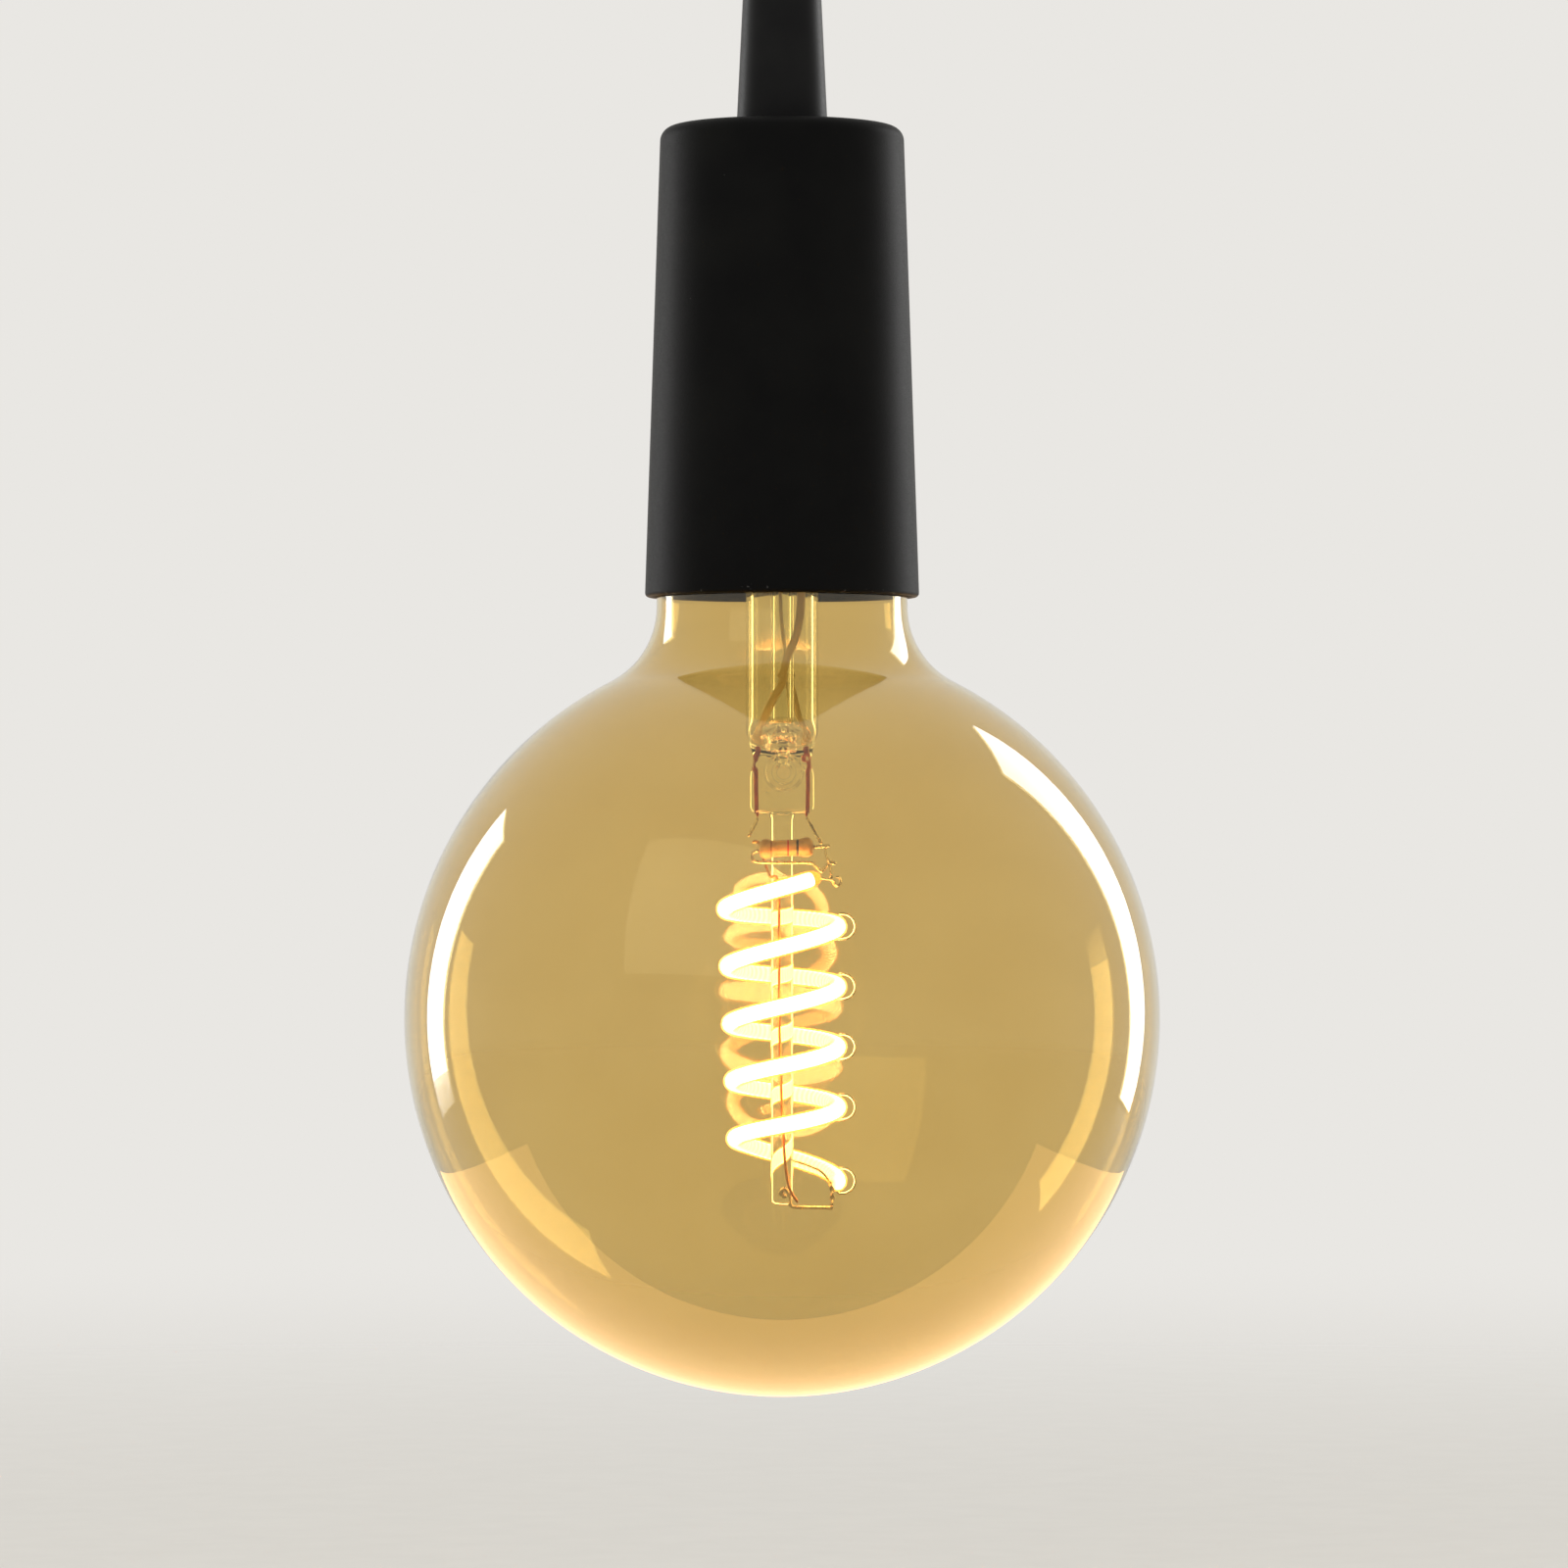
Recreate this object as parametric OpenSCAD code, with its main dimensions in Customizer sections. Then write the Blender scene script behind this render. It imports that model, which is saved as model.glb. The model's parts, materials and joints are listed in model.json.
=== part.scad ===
// A globe lamp with a spiral light filament, screwed into a pendant lampholder.
// The origin is the mouth of the cord's bore at the top of the cord grip, and +Z points up along the
// axis. Front is towards -Y. Sizes are in millimetres.

/* [Lamp glass] */
// Diameter of the globe
globe_d = 125; // [95:0.5:150]
// Wall of the blown glass
glass_wall = 0.8; // [0.6:0.05:1.1]
// Diameter of the straight neck
neck_d = 41.6; // [38:0.2:46]
// Height of the straight neck
neck_l = 3.9; // [2:0.1:14]
// Radius of the hollow curve from the neck into the globe
neck_fillet_r = 14; // [10:0.5:15]
// Radius of the two curves between throat and neck
throat_curve_r = 7; // [6:0.5:8]

/* [Cap] */
// Diameter of the cap over its thread
cap_d = 26.2; // [26:0.1:26.4]
// Height of the cap, from the centre contact to the edge of the skirt
cap_h = 27; // [26:0.5:28]
// Sheet thickness of the cap
cap_wall = 0.4; // [0.3:0.05:0.5]
// Height of the flared skirt
skirt_h = 5; // [4:0.5:6]
// How far the skirt flares beyond the thread
skirt_flare = 0.35; // [0.2:0.05:0.5]
// Room for cement between the cap and the glass
cement_t = 0.9; // [0.6:0.05:1.2]
// Depth of the cap's glass insulator below the contact
insulator_h = 5.2; // [4.6:0.1:5.8]
// Wall of the insulator
insulator_wall = 2; // [1.6:0.1:2.2]
// Diameter of the centre contact
contact_d = 10.4; // [9.5:0.1:11]
// Thickness of the centre contact
contact_t = 0.8; // [0.7:0.1:1]
// Length of throat inside the cap
throat_grip = 7; // [6:0.5:7.5]

/* [Driver] */
// Depth of the driver board below the centre contact
board_depth = 13; // [12.5:0.1:13.5]
// Thickness of the driver board
board_t = 1; // [0.8:0.1:1.2]
// Diameter of the smoothing capacitor
capacitor_d = 6; // [5:0.1:6.3]
// Height of the smoothing capacitor
capacitor_h = 5; // [4:0.1:5.4]

/* [Glass stem] */
// Outer diameter of the stem's tube
stem_d = 12; // [11.4:0.1:12.4]
// Wall of the stem's tube
stem_wall = 1.1; // [0.9:0.05:1.2]
// Length of the straight tube below its flare
stem_l = 36.6; // [34:0.2:40]
// Height over which the tube narrows to the press
press_taper_h = 3.2; // [2.8:0.1:4]
// Width of the flat press
press_w = 10.5; // [10:0.1:11]
// Thickness of the flat press
press_t = 3.6; // [3.2:0.1:4]
// Height of the flat press
press_h = 10.4; // [9:0.2:12]
// Distance between the two wires sealed in the press
seal_gap = 7.4; // [6.8:0.1:7.8]
// Diameter of the sealed wires
seal_wire_d = 0.6; // [0.5:0.05:0.7]
// Outer diameter of the exhaust tube
exhaust_d = 3.9; // [3.6:0.1:4]
// Bore of the exhaust tube
exhaust_bore = 2.4; // [2:0.1:2.6]

/* [Filament mount] */
// Diameter of the support rod
rod_d = 3.7; // [3.2:0.1:4]
// Length of the support rod below the filament's lower end
rod_beyond = 3.3; // [2.8:0.1:8]
// Diameter of the wires that hold the filament
hook_wire_d = 0.4; // [0.3:0.05:0.5]
// Clear gap between a hook and the filament
hook_clear = 0.35; // [0.3:0.05:0.6]
// Diameter of the return wire, the bottom anchor and the inner leads
lead_d = 0.6; // [0.4:0.05:0.7]

/* [Filament] */
// Diameter of the filament's silicone coat
filament_d = 3.1; // [2.6:0.1:3.4]
// Radius of the spiral at the middle of the filament
coil_r = 9.25; // [8.5:0.05:10]
// Distance between neighbouring turns
coil_pitch = 9.73; // [9:0.01:9.8]
// Number of turns
coil_turns = 4.914; // [4.9:0.002:4.95]
// Angle at which the spiral starts, counted from +X
coil_start = -49.5; // [-56:0.5:-46]
// Depth of the spiral's first turn below the press
coil_drop = 11.1; // [10.8:0.1:12]
// How far the upper turns lean up on the right and down on the left
coil_lean = 1.14; // [0:0.02:1.4]
// Extra drop over the last half turn
coil_tail = 2.3; // [0:0.1:2.6]

/* [Ballast resistor] */
// Length of the resistor
resistor_l = 9.5; // [8:0.1:10]
// Diameter of the resistor over its end caps
resistor_d = 2.9; // [2.4:0.1:3]
// Diameter of the resistor at its waist
resistor_waist_d = 2.5; // [2:0.1:2.6]
// Diameter of the resistor's wires
resistor_wire_d = 0.55; // [0.4:0.05:0.6]
// Depth of the resistor below the press
resistor_drop = 5.8; // [5.5:0.1:6.2]

/* [Holder cover] */
// Diameter of the cover at its top
cover_top_d = 40.3; // [39.6:0.1:42]
// Gap between the neck of the lamp and the mouth of the cover
mouth_gap = 0.5; // [0.4:0.1:2]
// Sheet thickness of the cover
cover_wall = 1.2; // [0.8:0.1:1.4]
// Radius of the cover's rounded top edge
cover_edge_r = 2.4; // [2:0.1:3]

/* [Cord grip] */
// Height of the cord grip
grip_h = 26; // [24:0.5:32]
// Diameter of the cord grip at its top
grip_top_d = 12.6; // [12:0.1:14]
// Diameter of the cord grip at its base
grip_base_d = 15.1; // [14.6:0.1:17]
// Diameter of the cord's bore
cord_bore_d = 7; // [6:0.1:7.2]
// Depth to which the nipple stands in the cord grip
nipple_grip = 10; // [8:0.5:12]
// Diameter of the threaded nipple
nipple_d = 10; // [9.6:0.1:10.2]
// Diameter of the grub screw in the cord grip
grip_screw_d = 3.5; // [3:0.1:4]

/* [Socket] */
// Depth of the lamp's centre contact inside the cover's mouth
seat_depth = 43.5; // [42.5:0.1:44]
// Diameter of the porcelain body
porcelain_d = 35; // [34:0.1:36]
// Height of the porcelain body
porcelain_h = 44; // [43:0.5:45]
// Height of the porcelain above the lamp's centre contact
porcelain_rise = 18.5; // [18:0.1:19]
// Sheet thickness of the screw shell
shell_wall = 0.4; // [0.3:0.05:0.5]
// Gap between the screw shell and the cap's thread
shell_clear = 0.3; // [0.25:0.05:0.4]
// Height of the screw shell
shell_h = 21.5; // [20:0.5:22.5]
// Thickness of the centre contact strip
strip_t = 0.5; // [0.4:0.05:0.6]
// Width of the centre contact strip
strip_w = 5; // [4:0.1:6]
// Gap between the contact tongue's tip and the lamp's centre contact
tongue_clear = 0.3; // [0.2:0.05:0.5]
// Width of a brass terminal
terminal_w = 7; // [6:0.1:7.4]
// Height of a brass terminal
terminal_h = 6.5; // [5.5:0.1:7]
// Thickness of the lock nuts
nut_h = 3.2; // [2.8:0.1:3.6]
// Gap between the upper lock nut and the mounting bracket
nut_gap = 4; // [1:0.5:12]
// Distance across the flats of the lock nuts
nut_af = 14; // [13:0.1:15]
// Sheet thickness of the mounting bracket
bracket_t = 1.2; // [1:0.1:1.5]
// Height of the mounting bracket
bracket_rise = 6.8; // [6:0.1:9]

/* [Hidden] */
$fn = 64;

// Small amount by which a cut runs past the face that it opens
over = 0.5;
// Gap round a piece that is sealed or pressed into another
fit = 0.05;
// Gap between pieces that touch end to end
touch = 0.15;

// Levels of the lampholder
washer_t = 0.8;
cover_top_z = -grip_h;
nut_z = cover_top_z - cover_wall - washer_t;
bracket_z = nut_z - nut_h - nut_gap;
porcelain_top_z = bracket_z - bracket_rise;
seat_z = porcelain_top_z - porcelain_rise;
mouth_z = seat_z - seat_depth;
cover_h = cover_top_z - mouth_z;
nipple_top_z = nipple_grip - grip_h;
nipple_end_z = bracket_z - bracket_t - nut_h - over;

// The cover's sheet ends in a slight round bead at the mouth
bead_r = cover_wall / 2 + 0.1;
cover_mouth_d = neck_d + 2 * mouth_gap + 4 * bead_r;
bead_c = [cover_mouth_d / 2 - bead_r, bead_r - cover_h];
// Slope of the cover's side and centre of its rounded edge
cover_slope = atan((cover_mouth_d - cover_top_d) / 2 / cover_h);
cover_edge_x = cover_top_d / 2 + cover_edge_r * tan(cover_slope) - cover_edge_r / cos(cover_slope);
cover_edge_c = [cover_edge_x, -cover_edge_r];

// Chambers of the porcelain body
shell_bore_r = cap_d / 2 + shell_clear;
shell_outer_r = shell_bore_r + shell_wall;
shell_top_z = seat_z - 2;
ceiling_z = seat_z + 5;
bay_depth = terminal_h + 1.2;
strap_x = shell_outer_r - 1.6;
terminal_x = strap_x - 2.2;
riser_x = -terminal_x;

// Levels of the lamp, counted down from its centre contact
ball_r = globe_d / 2;
neck_r = neck_d / 2;
throat_r = cap_d / 2 - cap_wall - cement_t;
throat_top_z = throat_grip - cap_h;
throat_end_z = -cap_h - 1;
throat_turn = acos(1 - (neck_r - throat_r) / (2 * throat_curve_r));
neck_top_z = throat_end_z - 2 * throat_curve_r * sin(throat_turn);
hollow_c = [throat_r + throat_curve_r, throat_end_z];
round_c = [neck_r - throat_curve_r, neck_top_z];
fillet_c = [neck_r + neck_fillet_r, neck_top_z - neck_l];
ball_z = fillet_c.y - sqrt(pow(ball_r + neck_fillet_r, 2) - pow(neck_r + neck_fillet_r, 2));
lamp_l = ball_r - ball_z;

// Levels of the stem and the mount
stem_r = stem_d / 2;
stem_bore_r = stem_r - stem_wall;
flare_r = throat_r - glass_wall - fit - stem_r;
flare_z = throat_top_z - 3.2 - flare_r - stem_wall;
taper_z = flare_z - stem_l;
press_z = taper_z - press_taper_h;
press_end_z = press_z - press_h;
seal_x = seal_gap / 2;
pocket_z = press_z + press_taper_h * 0.375;
exhaust_end_z = taper_z - 1;
exhaust_top_z = flare_z + flare_r + stem_wall + 5;
hole_z = press_z - 3.8;
rod_r = rod_d / 2;
resistor_z = press_end_z - resistor_drop;
resistor_y = -rod_r - resistor_d / 2 - 0.3;

// The filament's spiral, as a function of the number of turns from its upper end
function smooth(u) = let (c = min(max(u, 0), 1)) c * c * (3 - 2 * c);
function coil_angle(turn) = coil_start - 360 * turn;
function coil_z(turn) =
    press_end_z - coil_drop - coil_pitch * turn
    + coil_lean * (1 - turn / coil_turns) * cos(coil_angle(turn))
    - coil_tail * smooth((turn - coil_turns + 0.5) / 0.5);
function coil_point(turn) =
    [coil_r * cos(coil_angle(turn)), coil_r * sin(coil_angle(turn)), coil_z(turn)];
coil_rings = 24;
coil_steps = round(coil_turns * coil_rings);
coil_path = [for (i = [0:coil_steps]) coil_point(i * coil_turns / coil_steps)];

// Least clear gap between one turn of the filament and the next
coil_gap = min([for (i = [0:coil_steps], j = [i + coil_rings / 2:coil_steps])
    norm(coil_path[i] - coil_path[j])]) - filament_d;
echo(filament_gap_to_itself = coil_gap);

// Turn at which the filament passes hook i, on the right of the rod
function hook_turn(i) = i + coil_start / 360;
hook_r = filament_d / 2 + hook_clear + hook_wire_d / 2;

// Places of the filament's two ends, and the direction in which each points
coil_top = coil_point(0);
coil_end = coil_point(coil_turns);
coil_end_angle = coil_angle(coil_turns);
rod_end_z = coil_end.z - rod_beyond;
rod_l = press_end_z - rod_end_z;
anchor_z = rod_end_z - lead_d / 2 - touch;

// A curve through the given points, with the given number of steps from each point to the next
function between(a, b, c, d, u) =
    0.5 * (2 * b + (c - a) * u + (2 * a - 5 * b + 4 * c - d) * u * u
           + (3 * b - a - 3 * c + d) * u * u * u);
function curve(p, steps) = let (n = len(p) - 1) [
    for (i = [0:n - 1], s = [0:steps - 1])
        between(p[max(i - 1, 0)], p[i], p[i + 1], p[min(i + 2, n)], s / steps),
    p[n]];

function arc(c, r, from, to, steps) =
    [for (i = [0:steps]) let (a = from + (to - from) * i / steps) c + r * [cos(a), sin(a)]];

function unit(v) = v / norm(v);
function heading(p, i) = unit(p[min(i + 1, len(p) - 1)] - p[max(i - 1, 0)]);
function level(v, t) = unit(v - (v * t) * t);

// A round wire along the path p, closed at both ends
module wire(p, d, sides = 8) {
    n = len(p);
    t = [for (i = [0:n - 1]) heading(p, i)];
    first = abs(t[0].z) > 0.7 ? [1, 0, 0] : [0, 0, 1];
    side = [for (i = 0, u = level(first, t[0]); i < n; i = i + 1, u = i < n ? level(u, t[i]) : u) u];
    points = [for (i = [0:n - 1], j = [0:sides - 1])
        p[i] + d / 2 * (cos(360 * j / sides) * side[i] + sin(360 * j / sides) * cross(t[i], side[i]))];
    walls = [for (i = [0:n - 2], j = [0:sides - 1])
        let (a = i * sides + j, b = i * sides + (j + 1) % sides)
        each [[a, a + sides, b + sides], [a, b + sides, b]]];
    last = (n - 1) * sides;
    ends = [for (j = [1:sides - 2]) each [[0, j, j + 1], [last, last + j + 1, last + j]]];
    polyhedron(points, concat(walls, ends));
}

module ring(outer_r, inner_r, h) {
    difference() {
        cylinder(r = outer_r, h = h);
        translate([0, 0, -over]) cylinder(r = inner_r, h = h + 2 * over);
    }
}

// The lamp's pieces are drawn from the centre contact down
module in_lamp() {
    translate([0, 0, seat_z]) children();
}

// A slotted screw of head diameter head_d, pointing along -Z with its head's top at z = 0
module slotted_screw(d, l, head_d, head_h) {
    difference() {
        union() {
            translate([0, 0, -head_h]) cylinder(d = head_d, h = head_h);
            translate([0, 0, -l]) cylinder(d = d, h = l);
        }
        translate([-head_d, -head_d * 0.08, -head_h * 0.5]) cube([2 * head_d, head_d * 0.16, head_h]);
    }
}

// Lampholder

grip_screw_z = -8;

module cord_grip() {
    color("#141414")
    difference() {
        translate([0, 0, -grip_h]) cylinder(d1 = grip_base_d, d2 = grip_top_d, h = grip_h);
        translate([0, 0, -grip_h - over]) cylinder(d = cord_bore_d, h = grip_h + 2 * over);
        translate([0, 0, -grip_h - over]) cylinder(d = nipple_d + 2 * fit, h = nipple_grip + over);
        translate([0, cord_bore_d / 2 - over, grip_screw_z]) rotate([-90, 0, 0])
            cylinder(d = grip_screw_d + 2 * fit, h = grip_base_d);
    }
}

// The grub screw sits flush in the back of the grip, its point just short of the cord's bore
module grip_screw() {
    point_y = cord_bore_d / 2 + 0.25;
    flush_y = grip_top_d / 2 - 0.3;
    color("#3a3a3c")
    difference() {
        translate([0, point_y, grip_screw_z]) rotate([-90, 0, 0])
            cylinder(d = grip_screw_d, h = flush_y - point_y);
        translate([-grip_screw_d, flush_y - 0.8, grip_screw_z - 0.3])
            cube([2 * grip_screw_d, 2, 0.6]);
    }
}

module threaded_nipple() {
    color("#b9b9b4")
    translate([0, 0, nipple_end_z]) ring(nipple_d / 2, cord_bore_d / 2, nipple_top_z - nipple_end_z);
}

module lock_washer() {
    teeth = 12;
    outer_r = nut_af / 2;
    color("#a9a9a6")
    translate([0, 0, nut_z + touch / 3])
    difference() {
        ring(outer_r, nipple_d / 2 + fit, washer_t - touch);
        for (i = [0:teeth - 1]) rotate(i * 360 / teeth)
            translate([outer_r - 1, -0.5, -over]) cube([2, 1, washer_t + 2 * over]);
    }
}

module lock_nuts() {
    color("#b4b2ad")
    for (z = [nut_z - nut_h, bracket_z - bracket_t - nut_h])
        translate([0, 0, z]) difference() {
            cylinder(d = nut_af / cos(30), h = nut_h, $fn = 6);
            translate([0, 0, -over]) cylinder(d = nipple_d + 2 * fit, h = nut_h + 2 * over);
        }
}

module holder_cover() {
    color("#161616")
    translate([0, 0, cover_top_z])
    difference() {
        rotate_extrude($fn = 96)
            polygon(concat([[0, 0]],
                           arc(cover_edge_c, cover_edge_r, 90, cover_slope, 8),
                           arc(bead_c, bead_r, 0, -180, 8),
                           arc(cover_edge_c, cover_edge_r - cover_wall, cover_slope, 90, 6),
                           [[0, -cover_wall]]));
        translate([0, 0, -cover_wall - over]) cylinder(d = nipple_d + 2 * fit, h = cover_wall + 2 * over);
    }
}

foot_y = porcelain_d / 2 - 4;
bracket_w = 11;
bracket_screw_d = 3;

// A steel strap bent up over the terminals, with its two feet on the porcelain
module mount_bracket() {
    leg_y = foot_y - 3.2;
    plate_h = bracket_t;
    color("#b7b5b0")
    difference() {
        union() {
            translate([-nut_af / 2, -leg_y, bracket_z - plate_h]) cube([nut_af, 2 * leg_y, plate_h]);
            for (s = [-1, 1]) {
                translate([-bracket_w / 2, s > 0 ? leg_y - bracket_t : -leg_y, porcelain_top_z])
                    cube([bracket_w, bracket_t, bracket_rise]);
                translate([-bracket_w / 2, s > 0 ? leg_y - bracket_t : -foot_y - 3, porcelain_top_z])
                    cube([bracket_w, foot_y + 3 - leg_y + bracket_t, bracket_t]);
            }
        }
        translate([0, 0, bracket_z - plate_h - over])
            cylinder(d = nipple_d + 2 * fit, h = plate_h + 2 * over);
        for (s = [-1, 1]) translate([0, s * foot_y, porcelain_top_z - over])
            cylinder(d = bracket_screw_d + 2 * fit, h = bracket_t + 2 * over);
    }
}

bracket_screw_l = 9;
bracket_head_d = 5.2;
bracket_head_h = 1.8;

module bracket_screws() {
    color("#b9b9b4")
    for (s = [-1, 1]) translate([0, s * foot_y, porcelain_top_z + bracket_t + bracket_head_h])
        slotted_screw(bracket_screw_d, bracket_screw_l, bracket_head_d, bracket_head_h);
}

rivet_d = 2.4;
rivet_l = 4;
shell_rivet_y = shell_outer_r - 2;
chamber_r = shell_rivet_y - rivet_d;
rivet_x = 2.8 - chamber_r;
slot_gap = 0.2;

// Fired body: open below for the screw shell, with the contact chamber above it and a bay on each
// side for a terminal
module porcelain_body() {
    bottom_z = porcelain_top_z - porcelain_h;
    bay_w = terminal_w + 1;
    slot_w = strip_w + 2 * slot_gap;
    color("#e9e6dc")
    difference() {
        translate([0, 0, bottom_z]) cylinder(d = porcelain_d, h = porcelain_h);
        translate([0, 0, bottom_z - over])
            cylinder(r = shell_outer_r + 0.3, h = shell_top_z - bottom_z + over);
        translate([0, 0, shell_top_z - over]) cylinder(r = chamber_r, h = ceiling_z - shell_top_z + over);
        for (s = [-1, 1]) translate([s > 0 ? terminal_x - bay_w / 2 : -porcelain_d, -bay_w / 2,
                                     porcelain_top_z - bay_depth])
            cube([porcelain_d - terminal_x + bay_w / 2, bay_w, bay_depth + over]);
        // slot of the live riser, with a way in from the chamber, and slot of the neutral strap
        translate([riser_x - strip_t / 2 - slot_gap, -slot_w / 2, ceiling_z - strip_t - slot_gap]) {
            cube([strip_t + 2 * slot_gap, slot_w, porcelain_top_z - ceiling_z]);
            cube([-riser_x, slot_w, strip_t + slot_gap]);
        }
        translate([strap_x - slot_gap, -slot_w / 2, shell_top_z - over])
            cube([strip_t + 2 * slot_gap, slot_w, porcelain_top_z - shell_top_z]);
        // blind holes for the bracket's screws and the rivets
        for (s = [-1, 1]) translate([0, s * foot_y, porcelain_top_z - bracket_screw_l])
            cylinder(d = bracket_screw_d + 2 * fit, h = bracket_screw_l + over);
        translate([rivet_x, 0, ceiling_z - over]) cylinder(d = rivet_d + 2 * fit, h = rivet_l + over);
        for (s = [-1, 1]) translate([0, s * shell_rivet_y, shell_top_z - over])
            cylinder(d = rivet_d + 2 * fit, h = rivet_l + over);
    }
}

terminal_floor_z = porcelain_top_z - bay_depth + strip_t + touch;
terminal_bore_d = 2.4;
terminal_screw_d = 2.6;
terminal_screw_l = 4.4;
terminal_head_d = 4.2;
terminal_head_h = 1.6;
terminal_screw_z = terminal_floor_z + terminal_h * 0.55;

module terminal(side) {
    color("#c9a24b")
    difference() {
        translate([side * terminal_x - terminal_w / 2, -terminal_w / 2, terminal_floor_z])
            cube([terminal_w, terminal_w, terminal_h]);
        translate([side * (terminal_x - 0.8), 0, terminal_floor_z + 1])
            cylinder(d = terminal_bore_d, h = terminal_h);
        translate([side * (terminal_x + 0.3), 0, terminal_screw_z])
            rotate([0, side * 90, 0]) cylinder(d = terminal_screw_d + 2 * fit, h = terminal_w);
    }
}

module live_terminal() {
    terminal(-1);
}

module neutral_terminal() {
    terminal(1);
}

module terminal_screws() {
    head_x = terminal_x + terminal_w / 2 + terminal_head_h + 0.1;
    color("#b9b9b4")
    for (side = [-1, 1]) translate([side * head_x, 0, terminal_screw_z])
        rotate([0, side * 90, 0])
            slotted_screw(terminal_screw_d, terminal_screw_l, terminal_head_d, terminal_head_h);
}

fold_x = rivet_x + 2;
tip_x = 0.8;
tip_r = 0.6;

// Fixed foot of the centre contact strip, with the riser up to the live terminal
module contact_foot() {
    foot_z = ceiling_z - strip_t;
    color("#b98a4a")
    difference() {
        union() {
            translate([riser_x - strip_t / 2, -strip_w / 2, foot_z])
                cube([fold_x - touch - riser_x + strip_t / 2, strip_w, strip_t]);
            translate([riser_x - strip_t / 2, -strip_w / 2, foot_z])
                cube([strip_t, strip_w, terminal_floor_z - touch - foot_z]);
        }
        translate([rivet_x, 0, foot_z - over]) cylinder(d = rivet_d + 2 * fit, h = strip_t + 2 * over);
    }
}

module contact_rivet() {
    color("#c9a24b")
    translate([rivet_x, 0, ceiling_z - strip_t - 0.6]) {
        cylinder(d = rivet_d + 1.2, h = 0.6);
        cylinder(d = rivet_d, h = strip_t + rivet_l);
    }
}

// Springy leaf from the fold down to its rounded tip, just above the lamp's centre contact
module contact_tongue() {
    start = [fold_x + touch, ceiling_z - strip_t / 2 - 0.1];
    finish = [tip_x, seat_z + tongue_clear + tip_r];
    run = finish - start;
    color("#b98a4a")
    translate([0, strip_w / 2, 0]) rotate([90, 0, 0]) linear_extrude(strip_w) {
        translate(start) rotate(atan2(run.y, run.x)) translate([0, -strip_t / 2])
            square([norm(run), strip_t]);
        translate(finish) circle(tip_r, $fn = 32);
    }
}

module screw_shell() {
    color("#c8c6bf")
    translate([0, 0, shell_top_z - shell_h])
    difference() {
        cylinder(r = shell_outer_r, h = shell_h - touch / 3);
        translate([0, 0, -over]) cylinder(r = shell_bore_r, h = shell_h - shell_wall + over);
        cylinder(r = chamber_r + slot_gap, h = shell_h + over);
        for (s = [-1, 1]) translate([0, s * shell_rivet_y, shell_h - 2])
            cylinder(d = rivet_d + 2 * fit, h = 3);
    }
}

module shell_rivets() {
    color("#c9a24b")
    for (s = [-1, 1]) translate([0, s * shell_rivet_y, shell_top_z - shell_wall - 0.7]) {
        cylinder(d = rivet_d + 0.8, h = 0.65);
        cylinder(d = rivet_d, h = shell_wall + rivet_l);
    }
}

module neutral_strap() {
    color("#c9a24b")
    translate([strap_x, -strip_w / 2, shell_top_z + touch])
        cube([strip_t, strip_w, terminal_floor_z - shell_top_z - 2 * touch]);
}

// Cap of the lamp

insulator_bore_r = 1.2;
shell_lip_r = cap_d / 2 - 1.5;

module cap_contact() {
    plate_h = contact_t * 0.6;
    color("#b9b9b4")
    in_lamp() {
        translate([0, 0, -contact_t]) cylinder(d = contact_d, h = plate_h);
        translate([0, 0, plate_h - contact_t])
            cylinder(d1 = contact_d * 0.75, d2 = contact_d * 0.45, h = contact_t - plate_h);
    }
}

module cap_insulator() {
    top_z = -contact_t - touch;
    inner_z = top_z - insulator_wall;
    color("#1b1b1d")
    in_lamp() rotate_extrude()
        polygon([[insulator_bore_r, top_z], [contact_d / 2 + 0.5, top_z], [shell_lip_r - fit, -insulator_h],
                 [shell_lip_r - fit, -insulator_h - insulator_wall], [shell_lip_r - 2.4, -insulator_h - insulator_wall],
                 [contact_d / 2 - 1, inner_z], [insulator_bore_r, inner_z]]);
}

module cap_shell() {
    shoulder_z = -insulator_h - 1.5;
    skirt_z = skirt_h - cap_h;
    skirt_r = cap_d / 2 + skirt_flare;
    color("#cfcdc7")
    in_lamp() rotate_extrude($fn = 96)
        polygon([[shell_lip_r, -insulator_h], [cap_d / 2, shoulder_z], [cap_d / 2, skirt_z],
                 [skirt_r, -cap_h], [skirt_r - cap_wall, -cap_h],
                 [cap_d / 2 - cap_wall, skirt_z - 0.1], [cap_d / 2 - cap_wall, shoulder_z - cap_wall * 0.5],
                 [shell_lip_r, -insulator_h - cap_wall * 1.4]]);
}

module cap_cement() {
    color("#d8d0bd")
    in_lamp() translate([0, 0, -cap_h + 0.5])
        ring(cap_d / 2 - cap_wall - fit, throat_r + fit, throat_grip - 1);
}

// Driver in the cap

board_r = cap_d / 2 - cap_wall - 0.2;

module driver_board() {
    color("#2f6b3c")
    in_lamp() translate([0, 0, -board_depth - board_t]) cylinder(r = board_r, h = board_t);
}

module on_board(x, y) {
    in_lamp() translate([x, y, touch / 3 - board_depth]) children();
}

module smoothing_capacitor() {
    color("#2b2f3a") on_board(-4.8, 2.6) cylinder(d = capacitor_d, h = capacitor_h);
}

module bridge_rectifier() {
    color("#202022") on_board(2.2, 1.8) cube([4.7, 3.9, 2.4]);
}

module driver_chip() {
    color("#202022") on_board(1.6, -6.4) cube([4.9, 3.9, 1.6]);
}

module fuse_resistor() {
    fuse_d = 2.4;
    color("#7fa3b8")
    on_board(-7, -5) translate([0, 0, fuse_d / 2]) rotate([0, 90, 0]) cylinder(d = fuse_d, h = 6.2);
}

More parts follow.
